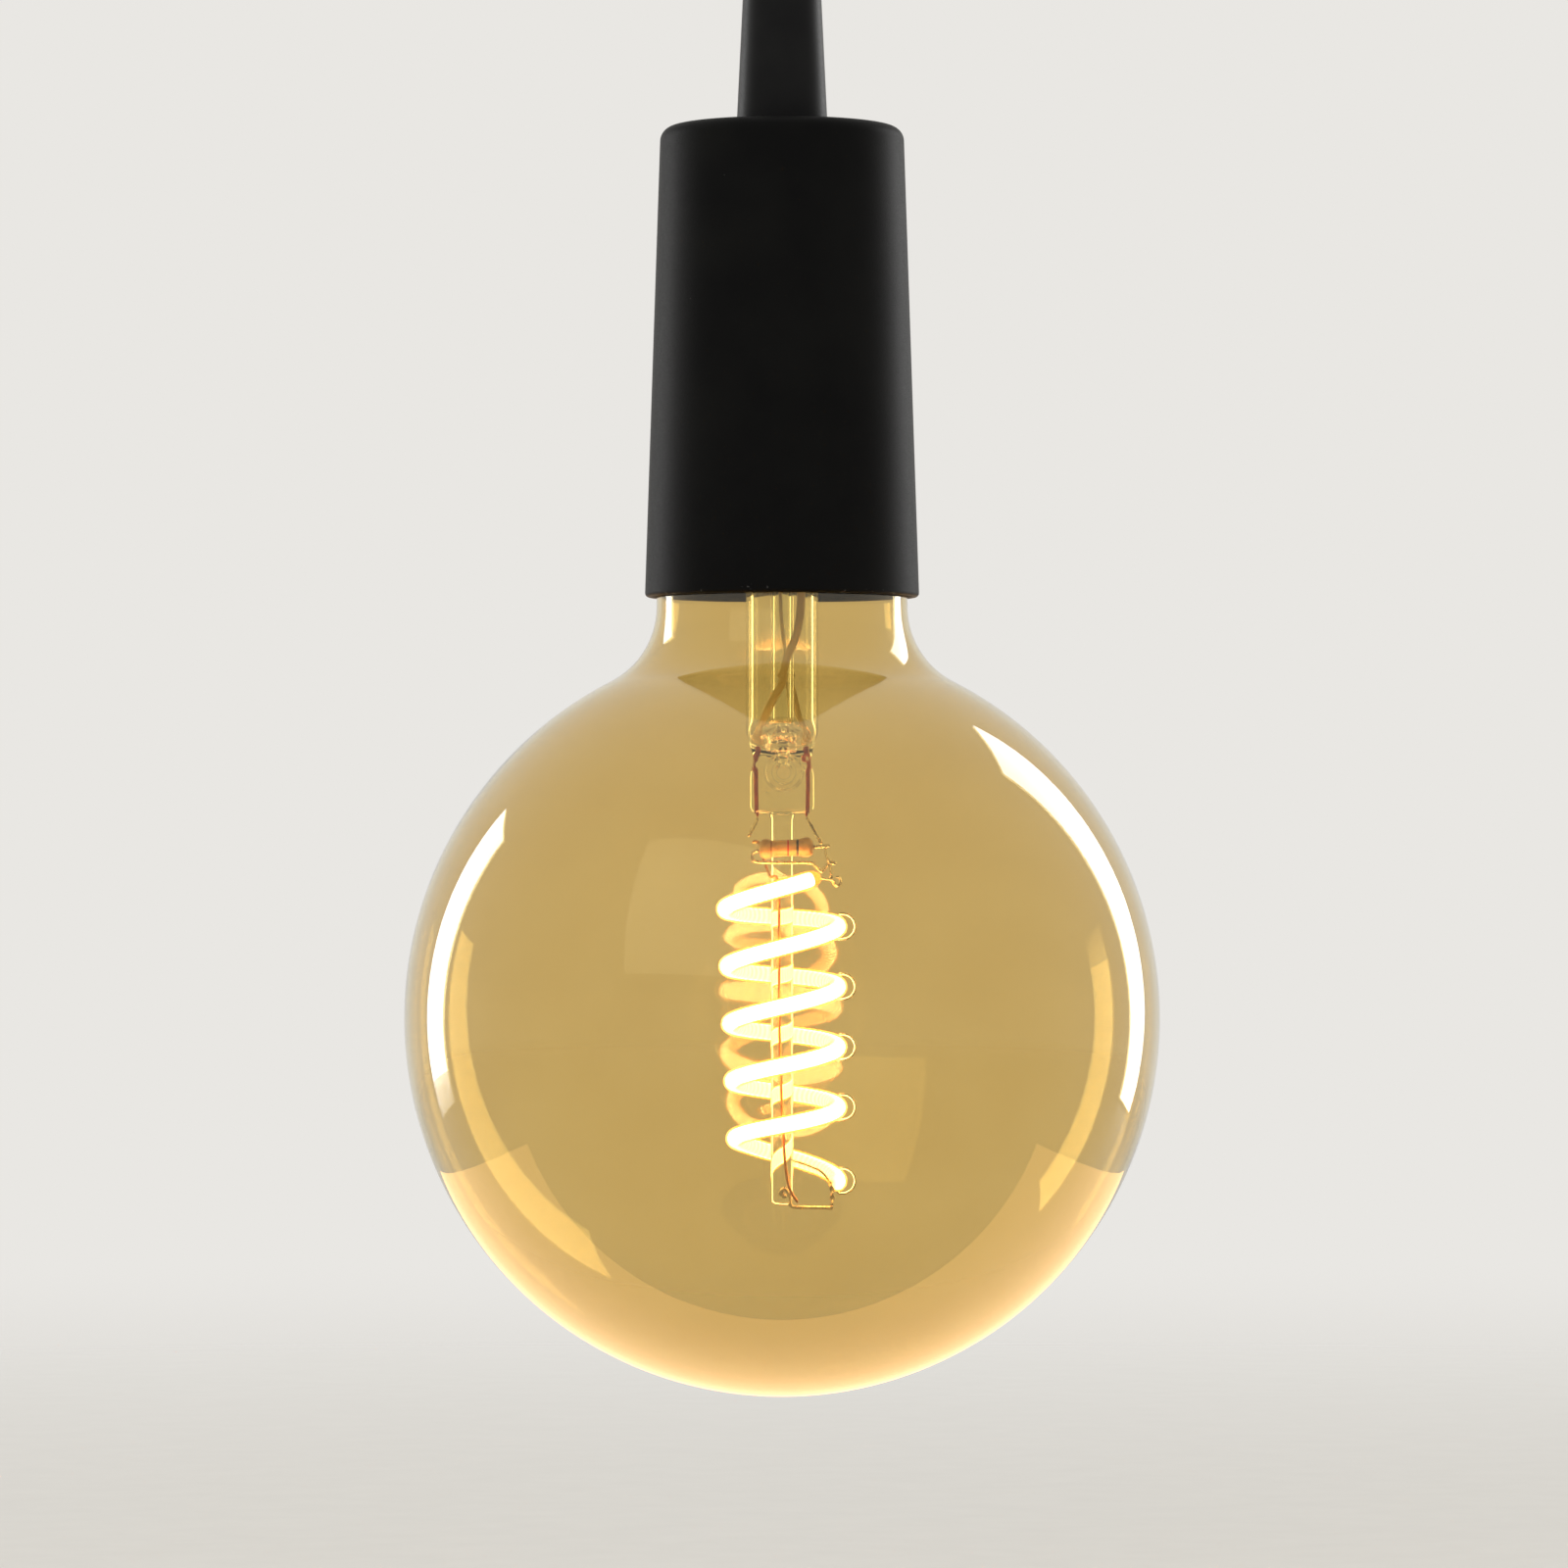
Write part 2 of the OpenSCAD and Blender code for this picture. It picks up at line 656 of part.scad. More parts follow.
module centre_wire() {
    color("#c08a4a")
    on_board(0, 0) cylinder(d = lead_d, h = board_depth - contact_t - 2 * touch);
}

module side_wire() {
    wall_x = cap_d / 2 - cap_wall - lead_d / 2 - touch;
    start_z = -board_depth - board_t - touch;
    color("#c08a4a")
    in_lamp() wire(curve([[wall_x - 2.6, 0, start_z], [wall_x - 2, 0, start_z - 1.4],
                          [wall_x - 0.5, 0, start_z - 2.4], [wall_x, 0, start_z - 4]], 4), lead_d);
}

// Glass of the lamp

// Half outline of the globe, its neck and its throat, drawn in by inset and up to the level top_z
module glass_outline(inset, top_z) {
    intersection() {
        translate([0, -lamp_l]) square([lamp_l, lamp_l]);
        union() {
            translate([0, ball_z]) circle(ball_r - inset);
            difference() {
                polygon([[0, ball_z], fillet_c, [0, fillet_c.y]]);
                translate(fillet_c) circle(neck_fillet_r + inset);
            }
            translate([0, ball_z]) square([neck_r - inset, neck_top_z - ball_z]);
            translate(round_c) circle(throat_curve_r - inset);
            difference() {
                polygon([[0, ball_z], round_c, hollow_c, [0, hollow_c.y]]);
                translate(hollow_c) circle(throat_curve_r + inset);
            }
            translate([0, ball_z]) square([throat_r - inset, top_z - ball_z]);
        }
    }
}

module glass_globe() {
    color("#b98a3c", 0.35)
    in_lamp() rotate_extrude($fn = 128) difference() {
        glass_outline(0, throat_top_z);
        glass_outline(glass_wall, throat_top_z + over);
    }
}

module slab(w, t, h) {
    linear_extrude(h) {
        translate([t / 2 - w / 2, -t / 2]) square([w - t, t]);
        for (s = [-1, 1]) translate([s * (w - t) / 2, 0]) circle(d = t, $fn = 32);
    }
}

// Narrowing of a round tube of radius r down to a flat slab, over the height h
module narrowing(r, w, t, h) {
    thin = 0.01;
    hull() {
        translate([0, 0, h - thin]) cylinder(r = r, h = thin, $fn = 32);
        slab(w, t, thin);
    }
}

// Flared tube, narrowed and pressed flat round the two sealed wires
module glass_stem() {
    flare_c = [stem_r + flare_r, flare_z];
    pocket_t = 1.3;
    color("#dfe6df", 0.4)
    in_lamp() difference() {
        union() {
            rotate_extrude()
                polygon(concat([[stem_bore_r, taper_z], [stem_r, taper_z]],
                               arc(flare_c, flare_r, 180, 90, 12),
                               arc(flare_c, flare_r + stem_wall, 90, 180, 12)));
            difference() {
                translate([0, 0, press_z]) narrowing(stem_r, press_w, press_t, press_taper_h);
                translate([0, 0, pocket_z])
                    narrowing(stem_bore_r, seal_gap + 1, pocket_t, taper_z - pocket_z + 0.001);
            }
            translate([0, 0, press_end_z]) slab(press_w, press_t, press_h);
        }
        translate([0, 0, exhaust_end_z - touch]) cylinder(d = exhaust_d + 2 * fit, h = over + 1);
        translate([0, 0, hole_z]) cylinder(d = exhaust_bore, h = exhaust_end_z - hole_z);
        translate([0, -press_t, hole_z]) rotate([-90, 0, 0]) cylinder(d = exhaust_bore, h = 2 * press_t);
        for (s = [-1, 1]) translate([s * seal_x, 0, press_end_z - over])
            cylinder(d = seal_wire_d + 2 * fit, h = press_h + press_taper_h + over);
    }
}

module exhaust_tube() {
    tip_r = exhaust_d / 2;
    color("#e6eae2", 0.4)
    in_lamp() difference() {
        union() {
            translate([0, 0, exhaust_end_z]) cylinder(r = tip_r, h = exhaust_top_z - tip_r - exhaust_end_z);
            translate([0, 0, exhaust_top_z - tip_r]) sphere(tip_r, $fn = 48);
        }
        translate([0, 0, exhaust_end_z - over])
            cylinder(d = exhaust_bore, h = exhaust_top_z - exhaust_d - exhaust_end_z + over);
    }
}

module support_rod() {
    color("#dfe6df", 0.5)
    in_lamp() difference() {
        union() {
            translate([0, 0, rod_end_z + rod_r]) cylinder(r = rod_r, h = rod_l - rod_r);
            translate([0, 0, rod_end_z + rod_r]) sphere(rod_r, $fn = 48);
        }
        for (i = [1:5]) translate([hook_root_x - fit, 0, hook_z(i)]) rotate([0, 90, 0])
            cylinder(d = hook_wire_d + 2 * fit, h = rod_d);
        translate([anchor_x, 0, rod_end_z - over]) cylinder(d = lead_d + 2 * fit, h = anchor_l + over + touch);
    }
}

// Wires of the lamp

sleeve_d = 0.9;
board_under_z = -board_depth - board_t - touch;
seal_top_z = pocket_z + 0.6;

// The outer leads run midway between the exhaust tube and the bore of the stem, and cross in front of
// and behind the tube at this height above the narrowing, over this length
lead_run_r = (stem_bore_r + exhaust_d / 2) / 2;
cross_rise = 10;
cross_l = 12;
cross_z = taper_z + cross_rise;
function lead_at(angle, z) = [lead_run_r * cos(angle), lead_run_r * sin(angle), z];

// The path of a lead from the board down to its sealed wire, where side is the side that it ends on
function lead_path(side) = let (start = side < 0 ? -28 : 150) curve(concat(
    [lead_at(start, board_under_z), lead_at(start, flare_z)],
    [for (step = [[0, 1], [-20, 0.5], [-50, 0.1], [-60, -0.15], [-87, -0.4]])
        lead_at(start + step[0], cross_z + cross_l * step[1])],
    [lead_at(start - 119, taper_z + cross_rise * 0.2),
     [side * seal_x, side * 0.2, seal_top_z + 1.2],
     [side * seal_x, 0, seal_top_z + touch]]), 3);

// The sleeved lead starts on the right and passes in front of the exhaust tube to the left
module outer_lead_left() {
    color("#c9b98a") in_lamp() wire(lead_path(-1), sleeve_d);
}

module outer_lead_right() {
    color("#b08a52") in_lamp() wire(lead_path(1), lead_d);
}

module seal_wire(side) {
    below = 0.4;
    color("#9a4a2e")
    in_lamp() translate([side * seal_x, 0, press_end_z - below])
        cylinder(d = seal_wire_d, h = seal_top_z - press_end_z + below);
}

module seal_wire_left() {
    seal_wire(-1);
}

module seal_wire_right() {
    seal_wire(1);
}

lead_start_z = press_end_z - 0.4 - touch;
joint_x = 6.7;

module inner_lead_left() {
    color("#b9b5a6")
    in_lamp() wire(curve([[-seal_x, 0, lead_start_z], [-seal_x - 0.4, -0.2, lead_start_z - 1],
                          [-seal_x - 1.6, -0.6, lead_start_z - 3.2]], 3), lead_d);
}

module inner_lead_right() {
    color("#b9b5a6")
    in_lamp() wire(curve([[seal_x, 0, lead_start_z], [seal_x + 0.6, -0.6, lead_start_z - 1],
                          [joint_x - 0.8, resistor_y + 1, resistor_z + 1.9],
                          [joint_x, resistor_y + 0.5, resistor_z + 0.9]], 3), lead_d);
}

// Turned body with a cap at each end and a narrower waist
module ballast_resistor() {
    half = resistor_l / 2;
    r = resistor_d / 2;
    waist_r = resistor_waist_d / 2;
    color("#c9a878")
    in_lamp() translate([0.3, resistor_y, resistor_z]) rotate([0, 90, 0]) rotate_extrude() {
        translate([0, -half + 0.4]) square([waist_r, resistor_l - 0.8]);
        for (s = [-1, 1]) intersection() {
            translate([0, s * (half - r)]) circle(r);
            translate([0, -half]) square([r, resistor_l]);
        }
    }
}

resistor_end = resistor_l / 2 + touch;

// The left wire turns back under the body and runs right, to the filament's upper end
module resistor_lead_left() {
    under_z = resistor_z - resistor_d / 2 - resistor_wire_d / 2 - 0.45;
    color("#c2c0b6")
    in_lamp() wire(curve([[0.3 - resistor_end, resistor_y, resistor_z],
                          [-resistor_end - 0.5, resistor_y, resistor_z - 0.1],
                          [-resistor_end - 1, resistor_y, resistor_z - 0.9],
                          [-resistor_end - 0.2, resistor_y, under_z],
                          [0, resistor_y, under_z], [4.6, resistor_y - 0.6, under_z - 0.1],
                          [coil_top.x - 0.2, coil_top.y + 2.2, coil_top.z + filament_d / 2 + 0.6],
                          [coil_top.x + 0.3, coil_top.y + 0.6, coil_top.z + filament_d / 2 + 0.5]],
                         3), resistor_wire_d);
}

module resistor_lead_right() {
    color("#c2c0b6")
    in_lamp() wire(curve([[0.3 + resistor_end, resistor_y, resistor_z],
                          [resistor_end + 0.9, resistor_y, resistor_z],
                          [joint_x + 0.4, resistor_y - 0.2, resistor_z + 0.6]], 3), resistor_wire_d);
}

// From the left lead, behind the resistor and down in front of the rod to the bottom anchor
module return_wire() {
    front_y = -rod_r - lead_d / 2 - touch;
    color("#a8873f")
    in_lamp() wire(curve([[-seal_x - 1.2, -0.9, lead_start_z - 4], [-3.8, -1.3, resistor_z + 1],
                          [-3, front_y + 0.7, resistor_z - 1.8], [-2, front_y, resistor_z - 4.4],
                          [-0.6, front_y, resistor_z - 7], [-0.4, front_y, rod_end_z + 28],
                          [0.6, front_y, rod_end_z + 6], [2.6, front_y + 0.2, anchor_z + lead_d + touch]],
                         4), lead_d * 0.8);
}

// Filament and what holds it

module filament() {
    color("#f3c14b")
    in_lamp() wire(coil_path, filament_d);
}

tab_w = 0.9;
tab_t = 0.3;

module top_tab() {
    slope = 12;
    color("#cfcabb")
    in_lamp() translate(coil_top) rotate([0, 0, coil_start + 90]) rotate([0, slope, 0])
        translate([touch * 2, -tab_t / 2, -tab_w / 2]) cube([4.2, tab_t, tab_w]);
}

module bottom_tab() {
    color("#cfcabb")
    in_lamp() translate(coil_end) rotate([0, 0, coil_end_angle])
        translate([-tab_w, -touch * 2 - tab_t, anchor_z + lead_d / 2 + touch - coil_end.z])
            cube([tab_w, tab_t, coil_end.z - anchor_z - lead_d / 2 - touch + 0.8]);
}

// Each hook is sealed into the rod to this distance from the axis
hook_root_x = 1.1;
function hook_z(i) = coil_z(hook_turn(i)) - hook_r;

// A wire out of the rod under the turn, curled up round its outer side
module support_hook(i) {
    curl = 200;
    color("#b9b5a6")
    in_lamp() {
        translate([hook_root_x, 0, hook_z(i)]) rotate([0, 90, 0])
            cylinder(d = hook_wire_d, h = coil_r - hook_root_x);
        translate([coil_r, 0, hook_z(i) + hook_r]) rotate([90, 0, 0])
            rotate_extrude(start = -90, angle = curl) translate([hook_r, 0]) circle(d = hook_wire_d, $fn = 16);
    }
}

anchor_x = 0.2;
anchor_l = 2.6;

// Out of the foot of the rod and level across to the filament's lower end
module bottom_anchor() {
    reach = coil_end + [-0.6 * cos(coil_end_angle), -0.6 * sin(coil_end_angle), 0]
        + 0.4 * [sin(coil_end_angle), -cos(coil_end_angle), 0];
    color("#b9b5a6")
    in_lamp() wire(curve([[anchor_x, 0, rod_end_z + anchor_l], [anchor_x, 0, rod_end_z + 0.3],
                          [anchor_x + 0.2, 0, anchor_z + 0.15], [anchor_x + 1, -0.2, anchor_z],
                          [reach.x, reach.y, anchor_z]], 4), lead_d);
}

cord_grip();
grip_screw();
threaded_nipple();
lock_washer();
lock_nuts();
holder_cover();
mount_bracket();
bracket_screws();
porcelain_body();
live_terminal();
neutral_terminal();
terminal_screws();
contact_foot();
contact_rivet();
contact_tongue();
screw_shell();
shell_rivets();
neutral_strap();
cap_contact();
cap_insulator();
cap_shell();
cap_cement();
driver_board();
smoothing_capacitor();
bridge_rectifier();
driver_chip();
fuse_resistor();
centre_wire();
side_wire();
glass_globe();
glass_stem();
exhaust_tube();
support_rod();
outer_lead_left();
outer_lead_right();
seal_wire_left();
seal_wire_right();
inner_lead_left();
inner_lead_right();
ballast_resistor();
resistor_lead_left();
resistor_lead_right();
return_wire();
filament();
top_tab();
bottom_tab();
bottom_anchor();
for (i = [1:5]) support_hook(i);
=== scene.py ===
# %% [markdown]
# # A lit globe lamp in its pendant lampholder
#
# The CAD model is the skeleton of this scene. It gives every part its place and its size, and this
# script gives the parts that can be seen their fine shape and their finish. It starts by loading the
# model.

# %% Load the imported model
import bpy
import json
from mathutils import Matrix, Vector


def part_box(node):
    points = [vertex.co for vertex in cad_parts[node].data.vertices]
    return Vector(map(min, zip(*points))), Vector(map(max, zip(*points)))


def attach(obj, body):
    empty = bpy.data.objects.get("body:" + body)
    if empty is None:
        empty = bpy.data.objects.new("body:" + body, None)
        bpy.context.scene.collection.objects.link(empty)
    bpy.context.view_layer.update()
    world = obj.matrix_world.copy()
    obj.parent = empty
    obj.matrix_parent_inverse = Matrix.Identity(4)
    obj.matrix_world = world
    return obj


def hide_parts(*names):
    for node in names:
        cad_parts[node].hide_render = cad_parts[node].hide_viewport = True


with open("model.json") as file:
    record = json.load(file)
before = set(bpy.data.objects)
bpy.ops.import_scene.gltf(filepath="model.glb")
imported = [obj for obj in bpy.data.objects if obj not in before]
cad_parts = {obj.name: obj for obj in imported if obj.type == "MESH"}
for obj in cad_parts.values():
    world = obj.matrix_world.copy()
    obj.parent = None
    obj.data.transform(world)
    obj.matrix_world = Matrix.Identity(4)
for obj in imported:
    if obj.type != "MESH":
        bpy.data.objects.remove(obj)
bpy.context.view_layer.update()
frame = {"nodes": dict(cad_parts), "record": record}

# %% Names used all through
import json
from itertools import accumulate
from math import acos, atan, atan2, cos, degrees, hypot, pi, radians, sin, sqrt, tan, tau

import bmesh
import bpy
from mathutils import Matrix, Vector

MM = 0.001
scene = bpy.context.scene
slot_of = {part["node"]: part["material_slot"] for part in frame["record"]["subparts"]}
finishes = {}
print(len(slot_of), "parts in", len(set(slot_of.values())), "finishes")

# %% [markdown]
# ## Levels
#
# All shapes below are drawn in millimetres. The holder's parts are drawn from the mouth of the cord's
# bore, at the top of the cord grip, and the lamp's parts from its centre contact, which sits
# `SEAT` below that. The sizes of the CAD model are said again where they are first needed, because a fine
# piece has to stay where its plain solid is.

# %% Sizes that set the levels
SEAT = -60.5
GRIP_H = 26.0
COVER_H = 78.0
BALL_R = 62.5
globe_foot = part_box("glass_globe")[0].z / MM
print("lamp's contact to the foot of its globe, mm:", round(SEAT - globe_foot, 3))

# %% [markdown]
# ## The camera
#
# The photograph looks almost level at the lamp, a very little upwards, and from far enough away that
# the holder's mouth shows as a nearly straight line. The long lens keeps that. The picture's top edge
# cuts the cord grip five millimetres below its end, as in the photograph.

# %% Place the camera
camera = bpy.data.objects.new("camera", bpy.data.cameras.new("camera"))
camera.data.lens = 165
camera.data.sensor_width = 36
camera.data.clip_start = 0.02
camera.location = (0.00032, -1.19, -0.1507)
camera.rotation_euler = (radians(90.76), 0, 0)
scene.collection.objects.link(camera)
scene.camera = camera
scene.view_settings.view_transform = "Standard"
scene.cycles.max_bounces = 24
scene.cycles.transmission_bounces = 24
scene.cycles.transparent_max_bounces = 24
print("camera stands", round(-camera.location.y, 3), "m in front of the lamp's axis")

# %% [markdown]
# ## Nodes with little writing
#
# A material in Blender is a graph of nodes. One small function adds a node, sets what is fixed on it
# and feeds its inputs: a value may be a number, a colour, another node's output, or just the other node,
# which then gives its first output in use. Colours are written as the hex values that a paint chart or a
# picture editor gives, and one function turns them to the linear values that light is calculated with.

# %% Helpers for materials
def linear(colour):
    """Turns an sRGB colour such as "#c8a24b" into linear red, green, blue and an alpha of one."""
    channels = [int(colour[start:start + 2], 16) / 255 for start in (1, 3, 5)]
    return (*[c / 12.92 if c <= 0.04045 else ((c + 0.055) / 1.055) ** 2.4 for c in channels], 1.0)


def feed(node, inputs):
    """Gives a node's inputs, by name or number, a fixed value or a link from an output or a node."""
    for socket, value in inputs.items():
        if isinstance(value, bpy.types.Node):
            value = next(output for output in value.outputs if output.enabled)
        if isinstance(value, bpy.types.NodeSocket):
            node.id_data.links.new(value, node.inputs[socket])
        else:
            node.inputs[socket].default_value = value


def add(tree, kind, inputs=None, **settings):
    """Adds a node with its settings and inputs."""
    node = tree.nodes.new("ShaderNode" + kind)
    for name, value in settings.items():
        setattr(node, name, value)
    feed(node, inputs or {})
    return node


def start_finish(name, sockets):
    """A material with one shader. sockets holds what is the same all over the surface."""
    finish = bpy.data.materials.new(name)
    finish.use_nodes = True
    tree = finish.node_tree
    shader = tree.nodes["Principled BSDF"]
    feed(shader, sockets)
    return finish, tree, shader, add(tree, "TexCoord").outputs["Object"]


print("black paint is", [round(c, 4) for c in linear("#161616")])

# %% [markdown]
# ## The studio
#
# The lamp hangs above a plain pale floor in an evenly pale room. In the photograph two tall lights
# stand behind the lamp, one on each side: they draw the thin white crescents inside the edge of the
# globe and the soft bands on the black holder. They do the same here. A broad light in front fills the
# dark side and is kept out of reflections, because the photograph has none of it in the glass. The two
# strips are the other way round: only reflections show them. Glass throws back a twenty-fifth of a
# light, so a strip that draws a white crescent on it would bleach everything else. The right strip
# stands nearer and leans, which is what the longer crescent on that side asks for. A faint warm glow that
# lies on the floor behind the lamp draws the broad band round the foot of the globe.
#
# The floor could be a wall-to-wall sweep, but a disc that fades out with distance gives the same
# seamless ground from every side and still takes the lamp's shadow. Its underside is left clear, so that
# the lamp can be looked at from below as well.

# %% Make the room and the floor
ROOM_TONE = "#e9e7e3"
room = bpy.data.worlds.new("pale room")
scene.world = room
room.use_nodes = True
feed(room.node_tree.nodes["Background"], {"Color": linear(ROOM_TONE), "Strength": 1.0})

FLOOR_Z = -296.0
FLOOR_FADE = (250.0, 1600.0)
floor_finish, tree, shader, place = start_finish("matt studio floor", {"Roughness": 0.8})
spread = add(tree, "VectorMath", {0: place}, operation="LENGTH")
fade = add(tree, "MapRange", {"Value": spread, "From Min": FLOOR_FADE[0] * MM, "From Max": FLOOR_FADE[1] * MM,
                              "To Min": 1.0, "To Max": 0.0}, interpolation_type="SMOOTHSTEP")
paper = add(tree, "TexNoise", {"Vector": place, "Scale": 90.0, "Detail": 3.0})
tone = add(tree, "Mix", {0: paper, 6: linear("#dddbd6"), 7: linear("#e4e2dd")}, data_type="RGBA")
underside = add(tree, "NewGeometry").outputs["Backfacing"]
shown = add(tree, "Math", {0: fade, 1: underside}, operation="SUBTRACT", use_clamp=True)
feed(shader, {"Base Color": tone, "Alpha": shown})

bm = bmesh.new()
bmesh.ops.create_circle(bm, cap_ends=True, segments=96, radius=FLOOR_FADE[1] * MM)
bmesh.ops.translate(bm, vec=(0, 0, FLOOR_Z * MM), verts=bm.verts)
floor_mesh = bpy.data.meshes.new("floor")
bm.to_mesh(floor_mesh)
bm.free()
floor = bpy.data.objects.new("floor", floor_mesh)
floor.data.materials.append(floor_finish)
scene.collection.objects.link(floor)
print("floor is", round(globe_foot - FLOOR_Z, 1), "mm below the globe")

# %% Hang the lights
GLOBE_Z = globe_foot + BALL_R


def hang_light(name, place, size, watts, mirrored, target=(0, 0, GLOBE_Z), colour="#ffffff"):
    """A rectangular light, with place, size and target in millimetres.
    It either shows in reflections or lights surfaces."""
    light = bpy.data.lights.new(name, "AREA")
    light.shape = "RECTANGLE"
    light.size, light.size_y = [side * MM for side in size]
    light.energy = watts
    light.color = linear(colour)[:3]
    holder = bpy.data.objects.new(name, light)
    holder.location = Vector(place) * MM
    aim = Vector(target) - Vector(place)
    holder.rotation_euler = aim.to_track_quat("-Z", "Y").to_euler()
    holder.visible_glossy = mirrored
    holder.visible_diffuse = not mirrored
    holder.visible_camera = False
    scene.collection.objects.link(holder)
    return holder


hang_light("left strip", (-640, 480, -65), (170, 610), 2.0, mirrored=True)
hang_light("right strip", (320, 278, -99), (104, 481), 0.8, mirrored=True, target=(0, 0, -422))
hang_light("front fill", (-500, -900, 500), (900, 900), 3.6, mirrored=False)
GLOW_Y = 275
glow = hang_light("floor glow", (0, GLOW_Y, FLOOR_Z + 4), (480, 600), 1.9, mirrored=True,
                  target=(0, GLOW_Y, 0), colour="#ffc070")
glow.visible_transmission = False
print("four lights, and the room's own light")

# %% [markdown]
# ## Grained finishes
#
# No worked surface is one flat colour. Paint has a fine grain, drawn sheet has lines along its travel,
# glaze drifts in tone. They all have the same build here: soft clouds mix two close tones, and a finer
# grain, stretched along the direction of the work, changes the gloss and gives a shallow relief. Only
# the numbers differ, and they come from the size of the marks in millimetres.

# %% A function for grained finishes
def grained(slot, name, sockets, tones, roughness, grain_mm, relief_mm, cloud_mm=7.0):
    """A finish with two tones in clouds, and a grain of the given size along x, y and z."""
    finish, tree, shader, place = start_finish(name, sockets)
    cells = add(tree, "Mapping", {"Vector": place, "Scale": [1 / (size * MM) for size in grain_mm]})
    grain = add(tree, "TexNoise", {"Vector": cells, "Scale": 1.0, "Detail": 3.0, "Roughness": 0.6})
    clouds = add(tree, "TexNoise", {"Vector": place, "Scale": 1 / (cloud_mm * MM), "Detail": 3.0})
    shares = add(tree, "MapRange", {"Value": clouds, "From Min": 0.35, "From Max": 0.65})
    mixed = add(tree, "Mix", {0: shares, 6: linear(tones[0]), 7: linear(tones[1])}, data_type="RGBA")
    gloss = add(tree, "MapRange", {"Value": grain, "From Min": 0.3, "From Max": 0.7,
                                   "To Min": roughness[0], "To Max": roughness[1]})
    relief = add(tree, "Bump", {"Height": grain, "Strength": 1.0, "Distance": relief_mm * MM})
    feed(shader, {"Base Color": mixed, "Roughness": gloss, "Normal": relief})
    finishes[slot] = finish
    return tree, shader


# %% [markdown]
# ## Finishes of the holder
#
# The cover is steel sheet with a matt black powder coat: the powder melts to a skin with a grain of
# about a quarter of a millimetre, which breaks the reflections up into soft bands. The cord grip is
# moulded nylon, a little smoother. Inside are zinc-plated steel, turned brass, bronze strip and glazed
# porcelain, as in any good lampholder.

# %% Make the holder's finishes
METAL = {"Metallic": 1.0}
tree, shader = grained("black_paint", "black powder coat", {"IOR": 1.4, "Specular IOR Level": 0.08},
                       ("#080808", "#0d0d0c"), (0.42, 0.56), (0.26, 0.26, 0.26), 0.02, 14.0)
grained("black_nylon", "moulded black nylon", {"IOR": 1.5, "Specular IOR Level": 0.12},
        ("#0b0b0c", "#111111"), (0.38, 0.5), (0.2, 0.2, 0.5), 0.008, 9.0)
grained("dark_steel", "blackened steel", METAL, ("#2c2c2e", "#48484c"), (0.3, 0.5),
        (0.15, 0.15, 0.15), 0.01, 2.0)
grained("zinc_steel", "zinc-plated steel", METAL, ("#b4b5b0", "#c9c7b8"), (0.24, 0.42),
        (0.12, 0.9, 0.12), 0.004, 5.0)
grained("brass", "turned brass", METAL, ("#b8923f", "#d2ae5e"), (0.2, 0.36),
        (0.6, 0.12, 0.12), 0.004, 4.0)
grained("bronze", "rolled phosphor bronze", METAL, ("#a97842", "#c39155"), (0.24, 0.38),
        (1.6, 0.1, 0.4), 0.003, 4.0)
grained("porcelain", "glazed porcelain", {"IOR": 1.5, "Coat Weight": 0.6, "Coat Roughness": 0.05},
        ("#e4dfd2", "#efebe0"), (0.18, 0.3), (1.4, 1.4, 1.4), 0.02, 12.0)
print(len(finishes), "finishes so far")

# %% [markdown]
# The cover's mouth is what gets knocked, so its rolled bead has a few small marks of a lighter grey.
# They are partly rubbed coat and partly a painted highlight where light catches the bead. They come
# from a noise that only counts near the level of the mouth.

# %% Wear and painted highlights on the cover's mouth
MOUTH_Z = -GRIP_H - COVER_H
# The lighter grey is rubbed coat and also a painted highlight of the lit bead.
WEAR_AND_HIGHLIGHT_TONE = "#4a4946"
WEAR_AND_HIGHLIGHT_H = 1.6
WEAR_AND_HIGHLIGHT_FROM, WEAR_AND_HIGHLIGHT_FULL = 0.81, 0.85
place = tree.nodes["Texture Coordinate"].outputs["Object"]
level = add(tree, "SeparateXYZ", {0: place}).outputs["Z"]
near = add(tree, "MapRange", {"Value": level, "From Min": (MOUTH_Z + 0.6) * MM,
                              "From Max": (MOUTH_Z + WEAR_AND_HIGHLIGHT_H) * MM, "To Min": 0.14, "To Max": 0.0})
knocks_and_glints = add(tree, "TexNoise", {"Vector": place, "Scale": 1 / (0.9 * MM), "Detail": 2.0})
marked = add(tree, "Math", {0: knocks_and_glints, 1: near})
worn_and_highlit = add(tree, "MapRange", {"Value": marked, "From Min": WEAR_AND_HIGHLIGHT_FROM, "From Max": WEAR_AND_HIGHLIGHT_FULL})
unmarked_coat = shader.inputs["Base Color"].links[0].from_socket
# Mixes in the lighter grey marks: rubbed coat, and a painted highlight on the bead.
rubbed_and_highlit = add(tree, "Mix", {0: worn_and_highlit, 6: unmarked_coat, 7: linear(WEAR_AND_HIGHLIGHT_TONE)}, data_type="RGBA")
feed(shader, {"Base Color": rubbed_and_highlit})
print("marks on the lowest", WEAR_AND_HIGHLIGHT_H, "mm of the cover")

# %% [markdown]
# ## Finishes of the cap and the driver
#
# The cap is drawn from sheet and nickel plated, so its marks run up and down. Its foot is black
# moulded glass with a drop of solder, and it is held to the glass by a sandy baked cement. The driver's
# parts are the ordinary ones of a small circuit board.

